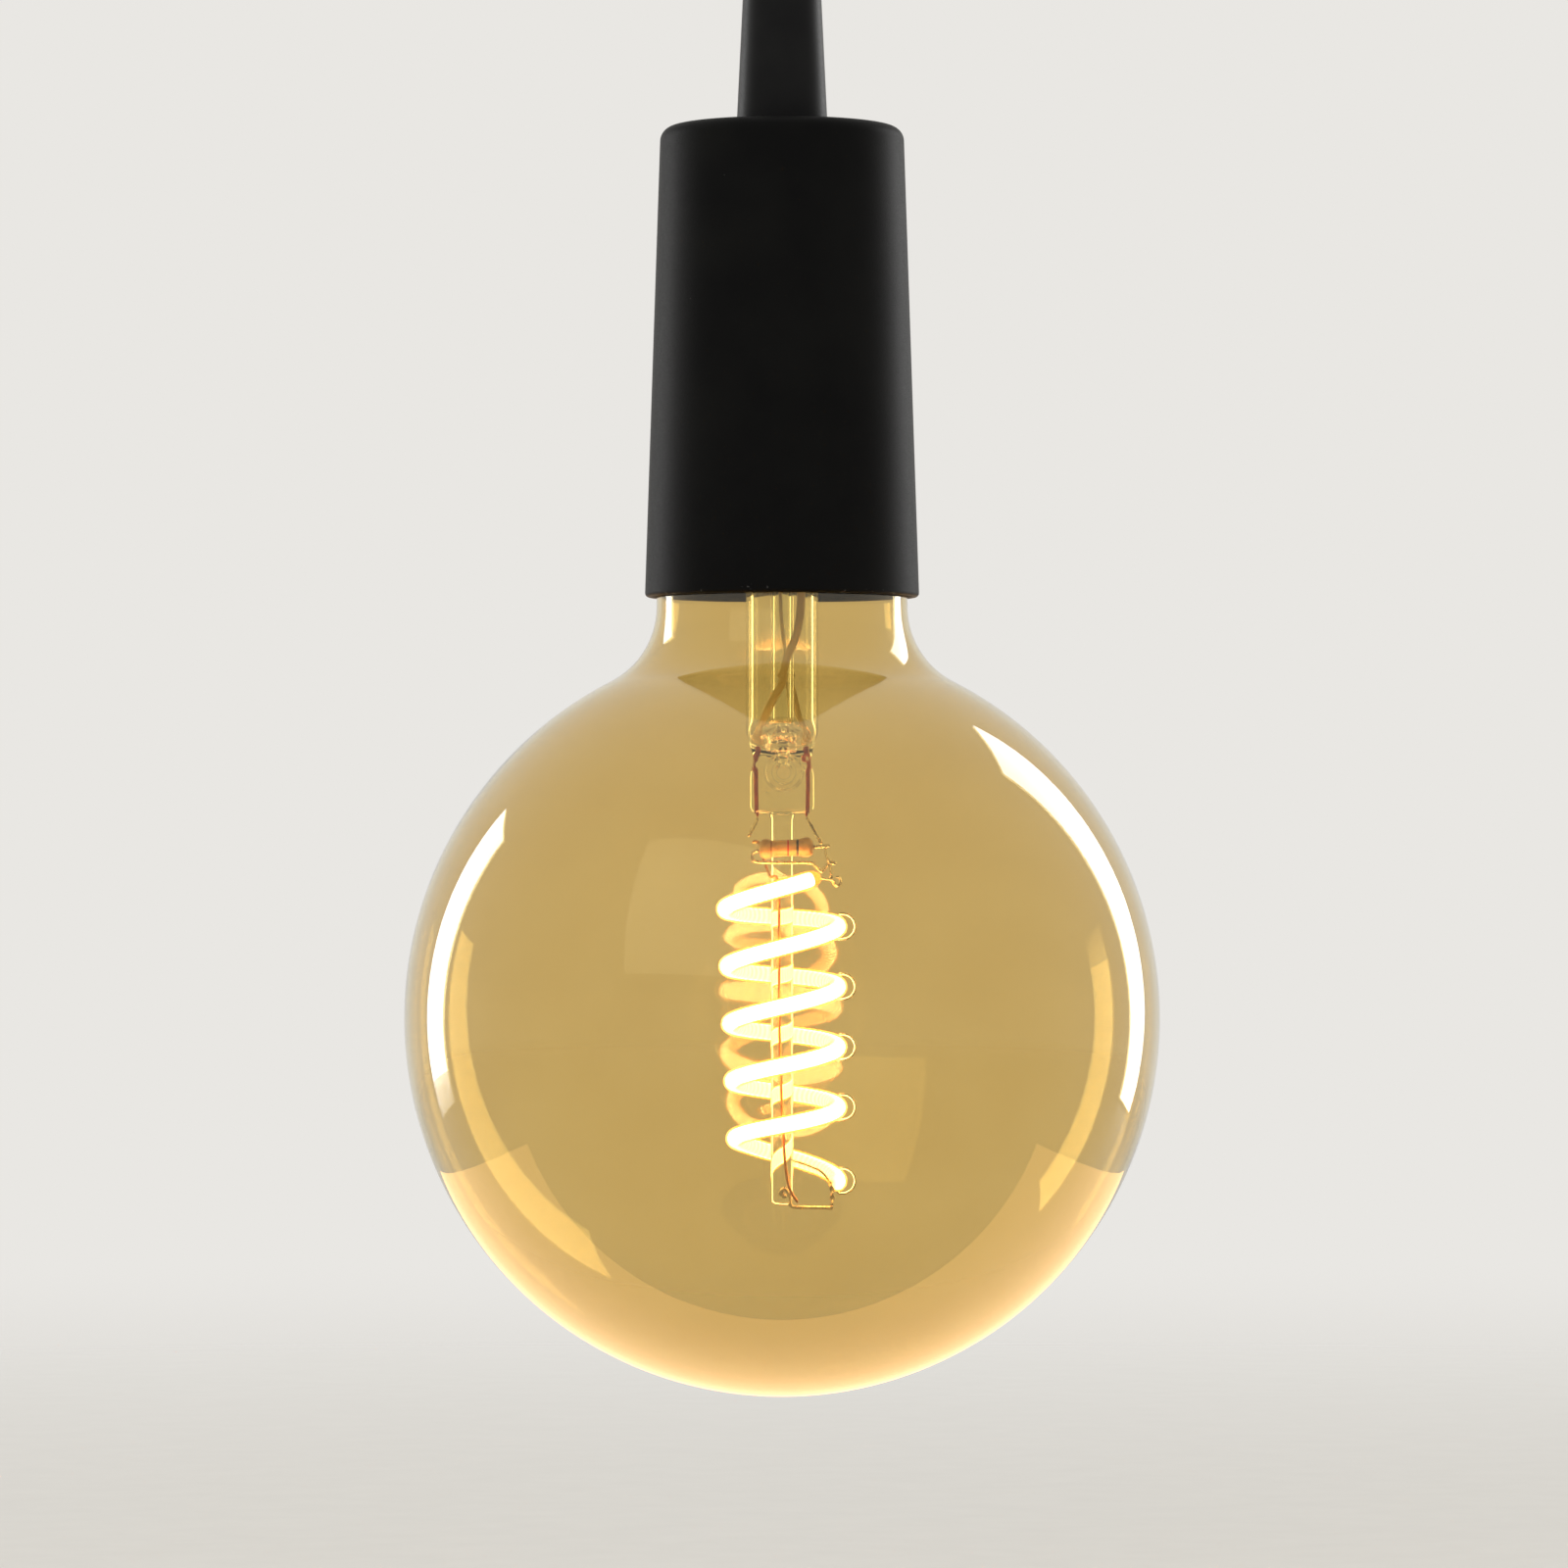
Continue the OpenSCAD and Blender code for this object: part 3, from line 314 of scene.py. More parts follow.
# %% Make the cap's finishes
grained("nickel_plate", "nickel-plated sheet", METAL, ("#b9b5aa", "#d3cfc5"), (0.16, 0.32),
        (0.14, 0.14, 2.4), 0.004, 5.0)
grained("solder", "tin solder", METAL, ("#a9a9a4", "#c4c4c0"), (0.25, 0.45), (0.5, 0.5, 0.5), 0.03, 2.0)
grained("black_glass", "moulded black glass", {"IOR": 1.52}, ("#101012", "#1c1b1f"), (0.05, 0.16),
        (0.9, 0.9, 0.9), 0.02, 3.0)
grained("cement", "baked basing cement", {}, ("#b8ab8c", "#d6cbb0"), (0.8, 0.95),
        (0.35, 0.35, 0.35), 0.12, 2.5)
grained("circuit_board", "green solder mask", {"IOR": 1.5}, ("#1f5a33", "#2c7443"), (0.25, 0.4),
        (0.5, 0.12, 0.3), 0.012, 3.0)
grained("blue_sleeve", "shrunk plastic sleeve", {"IOR": 1.55}, ("#232c44", "#31405e"), (0.15, 0.3),
        (0.8, 0.8, 1.6), 0.02, 3.0)
grained("black_epoxy", "moulded epoxy", {"IOR": 1.5}, ("#191919", "#242424"), (0.5, 0.7),
        (0.12, 0.12, 0.12), 0.012, 2.0)
print(len(finishes), "finishes so far")

# %% [markdown]
# ## Finishes inside the globe
#
# The wires of the mount are drawn nickel and copper, tanned by the heat of the sealing flame. The
# ballast resistor is a ceramic body dipped in tan enamel, with three colour bands that say its value. The
# bands could be separate rings, but they are paint of no thickness, so they are drawn by the distance
# along the body.

# %% Make the wires' finishes and the resistor's enamel
grained("copper_wire", "tinned copper wire", METAL, ("#b07a45", "#c99a62"), (0.22, 0.4),
        (0.2, 0.2, 1.2), 0.004, 2.0)
grained("nickel_wire", "drawn nickel wire", METAL, ("#b3a88e", "#cfc8b6"), (0.2, 0.36),
        (0.2, 0.2, 0.9), 0.004, 2.0)
grained("sealed", "copper oxide of the sealed wires", {"Metallic": 0.6}, ("#8c3a1d", "#b3552c"), (0.3, 0.5),
        (0.2, 0.2, 1.0), 0.004, 1.5)
seal_finish = finishes.pop("sealed")

BANDS = {"#b3261a": (1.0, 0.14), "#241c16": (2.55, 0.2), "#8f6136": (-1.8, 0.14)}
tree, shader = grained("resistor_enamel", "resistor enamel", {"IOR": 1.52, "Coat Weight": 0.5},
                       ("#a8854f", "#c4a067"), (0.25, 0.4), (0.5, 0.5, 0.5), 0.03, 2.0)
distance = add(tree, "SeparateXYZ", {0: tree.nodes["Texture Coordinate"].outputs["Object"]}).outputs["X"]
colour = shader.inputs["Base Color"].links[0].from_socket
for tone, (at, half) in BANDS.items():
    gap = add(tree, "MapRange", {"Value": distance, "From Min": (at - 1) * MM, "From Max": (at + 1) * MM,
                                 "To Min": -1.0, "To Max": 1.0})
    away = add(tree, "Math", {0: gap}, operation="ABSOLUTE")
    inside = add(tree, "Math", {0: away, 1: half}, operation="LESS_THAN")
    colour = add(tree, "Mix", {0: inside, 6: colour, 7: linear(tone)}, data_type="RGBA")
feed(shader, {"Base Color": colour})
print("resistor has", len(BANDS), "bands")

# %% [markdown]
# The two wires in the stem wear sleeves of braided glass fibre. A braid follows its wire, so it is
# drawn in the wire's own UV map: two sets of slanting strands, one the mirror of the other.

# %% Make the braided sleeve
STRANDS = 8
BRAID_PITCH = 2.4
sleeve, tree, shader, _ = start_finish("glass-fibre sleeve", {"Roughness": 0.75, "Sheen Weight": 0.3})
chart = add(tree, "SeparateXYZ", {0: tree.nodes["Texture Coordinate"].outputs["UV"]})
weave = None
for hand in (-1, 1):
    turns = add(tree, "Math", {0: chart.outputs["X"], 1: STRANDS}, operation="MULTIPLY")
    lay = add(tree, "Math", {0: chart.outputs["Y"], 1: hand * STRANDS / BRAID_PITCH, 2: turns},
              operation="MULTIPLY_ADD")
    swing = add(tree, "Math", {0: lay, 1: pi}, operation="MULTIPLY")
    sine = add(tree, "Math", {0: swing}, operation="SINE")
    strand = add(tree, "Math", {0: sine}, operation="ABSOLUTE")
    weave = strand if weave is None else add(tree, "Math", {0: weave, 1: strand}, operation="MULTIPLY")
mixed = add(tree, "Mix", {0: weave, 6: linear("#cdb683"), 7: linear("#fff6dc")}, data_type="RGBA")
relief = add(tree, "Bump", {"Height": weave, "Strength": 0.8, "Distance": 0.06 * MM})
feed(shader, {"Base Color": mixed, "Normal": relief})
finishes["sleeved_wire"] = sleeve
print("braid of", 2 * STRANDS, "strands")

# %% [markdown]
# ## Glass
#
# The globe is blown soda-lime glass with a gold tint, and the stem, the exhaust tube and the rod are
# clear lead-free glass tube. Real glass bends the light at each surface, and the shader does too: it
# needs a wall with two faces, which is why the globe below isn't a single skin. Blown glass is never
# even, so a slow wave moves its surface a little and the tint drifts.
#
# Light from a lamp would reach things behind such glass only as rare bright caustics. A second shader,
# seen by shadow rays alone, lets the lamps through with the glass's tint.

# %% Make the two glasses
def glass(slot, name, tints, wave_mm, relief_mm, shade):
    """Clear glass whose tint drifts between two tones, with a slow wave in its surface."""
    finish, tree, shader, place = start_finish(
        name, {"Roughness": 0.0, "IOR": 1.5, "Transmission Weight": 1.0})
    drift = add(tree, "TexNoise", {"Vector": place, "Scale": 1 / (wave_mm * MM), "Detail": 1.0})
    tint = add(tree, "Mix", {0: drift, 6: linear(tints[0]), 7: linear(tints[1])}, data_type="RGBA")
    wave = add(tree, "Bump", {"Height": drift, "Strength": 1.0, "Distance": relief_mm * MM})
    feed(shader, {"Base Color": tint, "Normal": wave})
    clear = add(tree, "BsdfTransparent", {0: linear(shade)})
    rays = add(tree, "LightPath")
    both = add(tree, "MixShader", {0: rays.outputs["Is Shadow Ray"], 1: shader, 2: clear})
    feed(tree.nodes["Material Output"], {"Surface": both})
    finishes[slot] = finish


glass("gold_glass", "gold-tinted blown glass", ("#e4cf96", "#ebd8a3"), 18.0, 0.012, "#f1e7c8")
glass("clear_glass", "clear drawn glass", ("#fafcf9", "#fdfefc"), 9.0, 0.01, "#fcfdfb")
print(len(finishes), "finishes so far")

# %% [markdown]
# ## The light filament
#
# A strip of tiny light chips, one to the millimetre, sits in a tube of silicone that holds yellow
# phosphor. Lit, the strip is so bright that the camera shows it white, and only the edge of the
# silicone and the side away from the chips keep its yellow. So it is made of two pieces: an inner core
# that glows, and a thin see-through coat round it. The side of the core that looks away from the
# spiral's axis is the brighter one, because the chips face outwards.

# %% Make the glowing core and its coat
CHIP_PITCH = 1.0
CORE_GLOW = (12.0, 26.0)
core, tree, shader, place = start_finish("lit phosphor", {"Roughness": 0.6})
frame_of = tree.nodes["Texture Coordinate"]
level = add(tree, "VectorMath", {0: place, 1: (1, 1, 0)}, operation="MULTIPLY")
outward = add(tree, "VectorMath", {0: level}, operation="NORMALIZE")
facing = add(tree, "VectorMath", {0: outward, 1: frame_of.outputs["Normal"]}, operation="DOT_PRODUCT")
chart = add(tree, "SeparateXYZ", {0: frame_of.outputs["UV"]})
beat = add(tree, "Math", {0: chart.outputs["Y"], 1: tau / CHIP_PITCH}, operation="MULTIPLY")
chips = add(tree, "Math", {0: beat}, operation="COSINE")
chip_share = add(tree, "MapRange", {"Value": chips, "From Min": -1.0, "From Max": 1.0,
                                    "To Min": 0.75, "To Max": 1.25})
INWARD, OUTWARD = -0.6, 0.5
side = add(tree, "MapRange", {"Value": facing, "From Min": INWARD, "From Max": OUTWARD,
                              "To Min": CORE_GLOW[0], "To Max": CORE_GLOW[1]})
power = add(tree, "Math", {0: side, 1: chip_share}, operation="MULTIPLY")
side_share = add(tree, "MapRange", {"Value": facing, "From Min": INWARD, "From Max": OUTWARD})
warm = add(tree, "Mix", {0: side_share, 6: linear("#ffd08a"), 7: linear("#ffe9c4")}, data_type="RGBA")
feed(shader, {"Base Color": warm, "Emission Color": warm, "Emission Strength": power})

coat, tree, shader, place = start_finish("phosphor silicone", {"IOR": 1.41, "Alpha": 0.4,
                                                              "Emission Strength": 1.1})
speck = add(tree, "TexNoise", {"Vector": place, "Scale": 1 / (0.5 * MM), "Detail": 2.0})
mixed = add(tree, "Mix", {0: speck, 6: linear("#f08a1c"), 7: linear("#ffb347")}, data_type="RGBA")
gloss = add(tree, "MapRange", {"Value": speck, "To Min": 0.2, "To Max": 0.45})
feed(shader, {"Base Color": mixed, "Emission Color": mixed, "Roughness": gloss})
finishes["lit_silicone"] = coat
print("chips are", CHIP_PITCH, "mm apart")

# %% [markdown]
# ## Finish every CAD part
#
# Each part's record names its finish, so one loop dresses all the plain solids. The pieces below then
# take the place of those that can be seen, and the rest, such as nuts, screws and the driver, keep
# their solids.

# %% Dress the CAD parts
for node, slot in slot_of.items():
    for socket in frame["nodes"][node].material_slots:
        socket.material = finishes[slot]
for node in ("seal_wire_left", "seal_wire_right"):
    frame["nodes"][node].material_slots[0].material = seal_finish
print(len(slot_of), "parts have their finish")

# %% [markdown]
# ## Shapes with little writing
#
# Nearly every part of a lamp is made in one of four ways, and the script makes them the same way. Sheet
# metal and glass are **turned**: a half outline goes round the axis. Wires are **drawn**: a ring is
# pushed along a path. The pressed glass is **lofted** through sections that change from round to flat.
# Small cuts are taken away with a boolean. Each function returns a bmesh in millimetres, and
# `as_piece` turns that into an object with its finish, on the body that it moves with.

# %% Helpers for turned shapes
def arc(centre, radius, start, end, steps):
    """Points of an arc in the half plane of an outline. Angles are in degrees."""
    angles = [radians(start + (end - start) * step / steps) for step in range(steps + 1)]
    return [(centre[0] + radius * cos(a), centre[1] + radius * sin(a)) for a in angles]


def turned(outline, steps=96, closed=True):
    """The outline, given as (radius, level) points, spun once round the axis."""
    bm = bmesh.new()
    corners = [bm.verts.new((x, 0, z)) for x, z in outline]
    followers = corners[1:] + corners[:1] if closed else corners[1:]
    edges = [bm.edges.new(pair) for pair in zip(corners, followers)]
    bmesh.ops.spin(bm, geom=corners + edges, cent=(0, 0, 0), axis=(0, 0, 1), dvec=(0, 0, 0),
                   angle=tau, steps=steps, use_merge=True, use_duplicate=False)
    bmesh.ops.remove_doubles(bm, verts=bm.verts, dist=1e-4)
    bmesh.ops.recalc_face_normals(bm, faces=bm.faces)
    return bm


def as_piece(bm, name, body, slot, nodes=(), level=SEAT, smooth_below=60, finish=None):
    """Makes an object of a bmesh in millimetres, which rides on a body and stands for CAD nodes.

    It has the slot's finish unless it is given another, and edges that turn by less than an angle in
    degrees are shaded smooth."""
    bmesh.ops.translate(bm, vec=(0, 0, level), verts=bm.verts)
    bmesh.ops.scale(bm, vec=(MM, MM, MM), verts=bm.verts)
    mesh = bpy.data.meshes.new(name)
    bm.to_mesh(mesh)
    bm.free()
    mesh.shade_smooth()
    mesh.set_sharp_from_angle(angle=radians(smooth_below))
    mesh.materials.append(finish or finishes[slot])
    piece = bpy.data.objects.new(name, mesh)
    scene.collection.objects.link(piece)
    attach(piece, body)
    if nodes:
        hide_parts(*nodes)
    print(name, len(mesh.polygons), "faces")


print("an arc of a quarter turn:", [tuple(round(c, 2) for c in p) for p in arc((0, 0), 1, 0, 90, 2)])

# %% [markdown]
# ## The cover of the holder
#
# The real cover is spun over a former from steel sheet, and its rim is rolled to a bead, so that it
# doesn't cut the hand. A spun shell is what `turned` makes. The outline goes once round the section of
# the sheet: down the outside from the rounded shoulder, round the bead, and back up inside.

# %% Spin the cover
COVER_WALL = 1.2
NECK_R = 20.8
EDGE_R = 2.4
BEAD_R = COVER_WALL / 2 + 0.1
COVER_TOP_R = 20.15
NIPPLE_HOLE_R = 5.05
mouth_r = NECK_R + 0.5 + 2 * BEAD_R
slope = atan((mouth_r - COVER_TOP_R) / COVER_H)
edge_c = (COVER_TOP_R + EDGE_R * tan(slope) - EDGE_R / cos(slope), -EDGE_R)
bead_c = (mouth_r - BEAD_R, BEAD_R - COVER_H)
lean = degrees(slope)
outline = [(NIPPLE_HOLE_R, -0.25), (NIPPLE_HOLE_R + 0.25, 0)]
outline += arc(edge_c, EDGE_R, 90, lean, 10)
outline += arc(bead_c, BEAD_R, 0, -180, 10)
outline += arc(edge_c, EDGE_R - COVER_WALL, lean, 90, 8)
outline += [(NIPPLE_HOLE_R, -COVER_WALL)]
as_piece(turned(outline, 160), "spun_cover", "lampholder", "black_paint", ["holder_cover"], -GRIP_H, 38)

# %% [markdown]
# ## The cord grip
#
# A tapered nylon nut that clamps the cord. It is turned from the half outline with its bore, then the
# hole for the grub screw is cut in its back, and last every sharp edge is rounded by a third of a
# millimetre, as a mould leaves it. Rounding comes last, so that the hole's edge gets it too.

# %% Helpers that cut and round
def cut(body, tool):
    """The body with the tool's shape taken away. Both are used up."""
    shapes = []
    for bm in (body, tool):
        mesh = bpy.data.meshes.new("shape")
        bm.to_mesh(mesh)
        bm.free()
        shapes.append(bpy.data.objects.new("shape", mesh))
        scene.collection.objects.link(shapes[-1])
    boolean = shapes[0].modifiers.new("cut", "BOOLEAN")
    boolean.operation = "DIFFERENCE"
    boolean.solver = "EXACT"
    boolean.object = shapes[1]
    bpy.context.view_layer.update()
    evaluated = shapes[0].evaluated_get(bpy.context.evaluated_depsgraph_get())
    mesh = bpy.data.meshes.new_from_object(evaluated)
    result = bmesh.new()
    result.from_mesh(mesh)
    bpy.data.meshes.remove(mesh)
    for shape in shapes:
        bpy.data.meshes.remove(shape.data)
    bmesh.ops.dissolve_degenerate(result, edges=result.edges, dist=1e-4)
    return result


def soften(bm, offset, segments=2, sharper_than=35):
    """Rounds every edge at which the surface turns by more than an angle in degrees."""
    limit = radians(sharper_than)
    sharp = [edge for edge in bm.edges if edge.is_manifold and edge.calc_face_angle(0) > limit]
    bmesh.ops.bevel(bm, geom=sharp, offset=offset, segments=segments, profile=0.5, material=-1,
                    affect="EDGES", clamp_overlap=True)
    bmesh.ops.dissolve_degenerate(bm, edges=bm.edges, dist=1e-4)
    return bm


cube = bmesh.new()
bmesh.ops.create_cube(cube, size=1.0)
print("a cube with rounded edges has", len(soften(cube, 0.1).faces), "faces")
cube.free()

# %% Turn the cord grip
CORD_BORE_R = 3.5
SHELF_Z = -16
GRIP_TOP_R = 6.3
GRIP_FOOT_R = 7.55
GRIP_EDGE = 0.35
SCREW_HOLE_R = 1.8
SCREW_HOLE_Z = -8
outline = [(CORD_BORE_R, 0), (GRIP_TOP_R, 0), (GRIP_FOOT_R, -GRIP_H), (NIPPLE_HOLE_R, -GRIP_H),
           (NIPPLE_HOLE_R, SHELF_Z), (CORD_BORE_R, SHELF_Z)]
drill = bmesh.new()
at_back = Matrix.Translation((0, 6, SCREW_HOLE_Z)) @ Matrix.Rotation(pi / 2, 4, "X")
bmesh.ops.create_cone(drill, cap_ends=True, segments=32, radius1=SCREW_HOLE_R, radius2=SCREW_HOLE_R, depth=6,
                      matrix=at_back)
grip = soften(cut(turned(outline), drill), GRIP_EDGE, 3)
as_piece(grip, "moulded_cord_grip", "lampholder", "black_nylon", ["cord_grip"], 0, 38)

# %% [markdown]
# ## Threads
#
# The screw cap's thread is rolled: a round wave, pressed from both sides of the sheet, that climbs
# 3.629 mm with each turn. A sleeve is turned with many short steps along its height, and then each
# point moves in by the wave's depth at its own angle and level. The socket's shell gets the same wave,
# so the two threads stay in step as the lamp is screwed out. The nipple's thread is cut and finer, a
# millimetre to the turn.

# %% Helpers for levels and threads
def levels(start, end, step):
    """Evenly spaced levels from start to end, about a step apart."""
    count = round(abs(end - start) / step)
    return [start + (end - start) * i / count for i in range(count + 1)]


def ease(share):
    """Zero up to zero, one from one on, and a smooth rise between."""
    share = min(max(share, 0), 1)
    return share * share * (3 - 2 * share)


THREAD_PITCH = 3.629
THREAD_DEPTH = 0.85
RUN_OUT = 2.0


def roll_thread(bm, top, bottom):
    """Presses the cap's right-handed round thread into a sleeve between two levels."""
    for corner in bm.verts:
        x, y, z = corner.co
        wave = (1 - cos(tau * z / THREAD_PITCH - atan2(y, x))) / 2
        fade = ease(min(top - z, z - bottom) / RUN_OUT)
        corner.co.xy *= 1 - THREAD_DEPTH * wave * fade / hypot(x, y)
    return bm


print("levels, eased:", [round(ease(level), 2) for level in levels(0, 1, 0.25)])

# %% Roll the threads of the cap and the socket
STEP = 0.3
CAP_R = 13.1
CAP_H = 27.0
CAP_WALL = 0.4
LIP_R = CAP_R - 1.5
THREAD_TOP = -7.1
SKIRT_TOP = -22.0
outline = [(LIP_R, -5.2), (CAP_R, THREAD_TOP + 0.4)]
outline += [(CAP_R, z) for z in levels(THREAD_TOP, SKIRT_TOP, STEP)]
outline += [(CAP_R + 0.1, -23), (CAP_R + 0.3, -25.4), (CAP_R + 0.35, -CAP_H), (CAP_R - 0.05, -CAP_H)]
outline += [(CAP_R - CAP_WALL, z) for z in levels(SKIRT_TOP - CAP_WALL, THREAD_TOP, STEP)]
outline += [(LIP_R, -5.75)]
cap_shell = roll_thread(turned(outline, 120), -6.9, -20.6)
as_piece(cap_shell, "rolled_cap_shell", "lamp", "nickel_plate", ["cap_shell"])

BORE_R = CAP_R + 0.3
SHELL_R = BORE_R + 0.4
SHELL_HOLE_R = 9.6
SHELL_LEVELS = levels(-2.7, -23.5, STEP)
outline = [(SHELL_HOLE_R, -2.05), (SHELL_R - 0.3, -2.05), (SHELL_R, -2.4)]
outline += [(SHELL_R, z) for z in SHELL_LEVELS] + [(BORE_R, z) for z in reversed(SHELL_LEVELS)]
outline += [(BORE_R - 0.3, -2.45), (SHELL_HOLE_R, -2.45)]
screw_shell = roll_thread(turned(outline, 120), -3.4, -23.0)
as_piece(screw_shell, "rolled_screw_shell", "lampholder", "nickel_plate", ["screw_shell"])

# %% Cut the nipple's thread
NIPPLE_R = 5.0
NIPPLE_EDGE = 0.4
GROOVE_DEPTH = 0.275
nipple_low, nipple_high = [corner.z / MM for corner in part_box("threaded_nipple")]
outline = [(CORD_BORE_R, nipple_high), (NIPPLE_R - NIPPLE_EDGE, nipple_high)]
outline += [(NIPPLE_R, z) for z in levels(nipple_high - NIPPLE_EDGE, nipple_low + NIPPLE_EDGE, 0.125)]
outline += [(NIPPLE_R - NIPPLE_EDGE, nipple_low), (CORD_BORE_R, nipple_low)]
nipple = turned(outline, 48)
for corner in nipple.verts:
    x, y, z = corner.co
    if hypot(x, y) > NIPPLE_R - 0.1:
        corner.co.xy *= 1 - GROOVE_DEPTH / NIPPLE_R * (1 - cos(tau * z - atan2(y, x))) / 2
as_piece(nipple, "cut_nipple", "lampholder", "zinc_steel", ["threaded_nipple"], 0)

# %% [markdown]
# ## The globe
#
# A gather of glass is blown in a mould to a ball with a neck, and the neck is drawn in to the throat
# that the cap holds. The ball, the hollow of the shoulder, the straight neck and the two curves of the
# throat are arcs that run into each other without a kink, so the outline is a list of arcs. The inner
# outline is the same list, set in by the wall, and the two meet in a fire-rounded lip at the top.

# %% Blow the globe
GLASS_WALL = 0.8
NECK_L = 3.9
NECK_FILLET = 14.0
THROAT_CURVE = 7.0
THROAT_R = 11.8
THROAT_TOP = -20.0
THROAT_END = -28.0
throat_turn = acos(1 - (NECK_R - THROAT_R) / (2 * THROAT_CURVE))
neck_top = THROAT_END - 2 * THROAT_CURVE * sin(throat_turn)
fillet_c = (NECK_R + NECK_FILLET, neck_top - NECK_L)
ball_z = fillet_c[1] - sqrt((BALL_R + NECK_FILLET) ** 2 - fillet_c[0] ** 2)
shoulder = degrees(atan2(fillet_c[1] - ball_z, fillet_c[0]))
curve = degrees(throat_turn)


def globe_outline(inset):
    """The globe's half outline from its foot to its throat, set in by inset."""
    line = arc((0, ball_z), BALL_R - inset, -90, shoulder, 84)
    line += arc(fillet_c, NECK_FILLET + inset, 180 + shoulder, 180, 24)[1:]
    line += arc((NECK_R - THROAT_CURVE, neck_top), THROAT_CURVE - inset, 0, curve, 16)
    line += arc((THROAT_R + THROAT_CURVE, THROAT_END), THROAT_CURVE + inset, 180 + curve, 180, 16)[1:]
    return line


outside = globe_outline(0)
inside = globe_outline(GLASS_WALL)
outside[0], inside[0] = (0, outside[0][1]), (0, inside[0][1])
lip = arc((THROAT_R - GLASS_WALL / 2, THROAT_TOP - GLASS_WALL / 2), GLASS_WALL / 2, 0, 180, 6)
globe = turned(outside + lip + inside[::-1], 192, closed=False)
as_piece(globe, "blown_globe", "lamp", "gold_glass", ["glass_globe"], smooth_below=180)

# %% [markdown]
# ## The stem
#
# The stem is a tube with a flare at the top, where it is melted to the throat, and a flat press at the
# bottom, where the two wires go through. The tube's sections are round and the press's are nearly
# square, so the body is lofted: one chain of sections goes down the bore, over the flare and down the
# outside. The tongs leave a narrow waist above the press.

# %% Helpers for lofted glass
def grow(bm, ring):
    """Extrudes a ring of edges and returns the new ring's edges and corners."""
    grown = bmesh.ops.extrude_edge_only(bm, edges=ring)["geom"]
    corners = [part for part in grown if isinstance(part, bmesh.types.BMVert)]
    known = set(corners)
    edges = [part for part in grown if isinstance(part, bmesh.types.BMEdge) and known.issuperset(part.verts)]
    return edges, corners


def lofted(sections, sides=64):
    """A closed body through level sections, each (half width, half thickness, squareness, level)."""
    bm = bmesh.new()
    bmesh.ops.create_circle(bm, cap_ends=True, segments=sides, radius=1.0)
    ring = list(bm.edges)
    for _ in sections[1:]:
        ring, corners = grow(bm, ring)
        bmesh.ops.translate(bm, vec=(0, 0, 1), verts=corners)
    bmesh.ops.edgeloop_fill(bm, edges=ring)
    for corner in bm.verts:
        width, thickness, squareness, level = sections[round(corner.co.z)]
        x, y = corner.co.xy
        reach = (abs(x) ** squareness + abs(y) ** squareness) ** (-1 / squareness)
        corner.co = (width * x * reach, thickness * y * reach, level)
    bmesh.ops.recalc_face_normals(bm, faces=bm.faces)
    return bm


def blend_sections(first, last, steps):
    """Sections between two. Their widths and squareness change slowly at both ends."""
    made = []
    for step in range(1, steps + 1):
        eased = ease(step / steps)
        shares = (eased, eased, eased, step / steps)
        made.append(tuple(a + (b - a) * share for a, b, share in zip(first, last, shares)))
    return made


print("halfway between two sections:", blend_sections((1, 1, 2, 0), (3, 2, 4, 8), 2)[0])

# %% Press the stem
STEM_R = 6.0
STEM_BORE = 4.9
FLARE_R = 4.95
FLARE_Z = -29.25
TAPER_Z = -65.0
WAIST_Z = -70.6
PRESS_Z = -73.2
PRESS_END = -79.45
POCKET_Z = -68.1
BORE_END_Z = -63.4
FLARE_C = (STEM_R + FLARE_R, FLARE_Z)
TUBE_WALL = STEM_R - STEM_BORE
RIM_C = (FLARE_C[0], FLARE_Z + FLARE_R + TUBE_WALL / 2)
PRESS_HALF = (5.3, 1.8)
PRESS_SQUARE = 4.5
EDGE_ROUND = 1.5
pocket = (4.75, 0.45, 3.0, POCKET_Z)
round_bore = (STEM_BORE, STEM_BORE, 2, BORE_END_Z)
round_tube = (STEM_R, STEM_R, 2, TAPER_Z)
waist = (4.8, 2.1, 3.6, WAIST_Z)
flat = (*PRESS_HALF, PRESS_SQUARE, PRESS_Z)
tube_line = arc(FLARE_C, FLARE_R + TUBE_WALL, 180, 92, 12) + arc(RIM_C, TUBE_WALL / 2, 60, -60, 4)
tube_line += arc(FLARE_C, FLARE_R, 92, 180, 12) + [(STEM_R, z) for z in levels(FLARE_Z - 4, TAPER_Z, 4)]
sections = [pocket] + blend_sections(pocket, round_bore, 12) + [(r, r, 2, z) for r, z in tube_line]
sections += blend_sections(round_tube, waist, 18) + blend_sections(waist, flat, 9)
sections += [(*PRESS_HALF, PRESS_SQUARE, z) for z in levels(PRESS_Z - 0.3, PRESS_END + EDGE_ROUND, 0.3)]
for angle in [radians(8.5 * step) for step in range(1, 11)]:
    sections.append((*[half - EDGE_ROUND * (1 - cos(angle)) for half in PRESS_HALF], PRESS_SQUARE,
                     PRESS_END + EDGE_ROUND * (1 - sin(angle))))
stem = lofted(sections, 96)
print("stem has", len(sections), "sections")

# %% [markdown]
# Now the press gets its blown hole: the hot glass bulges in rings where the air broke through from the
# exhaust tube, and it keeps a few lumps. The faces of the press are cut finer there first, so that the
# rings have points to stand on.

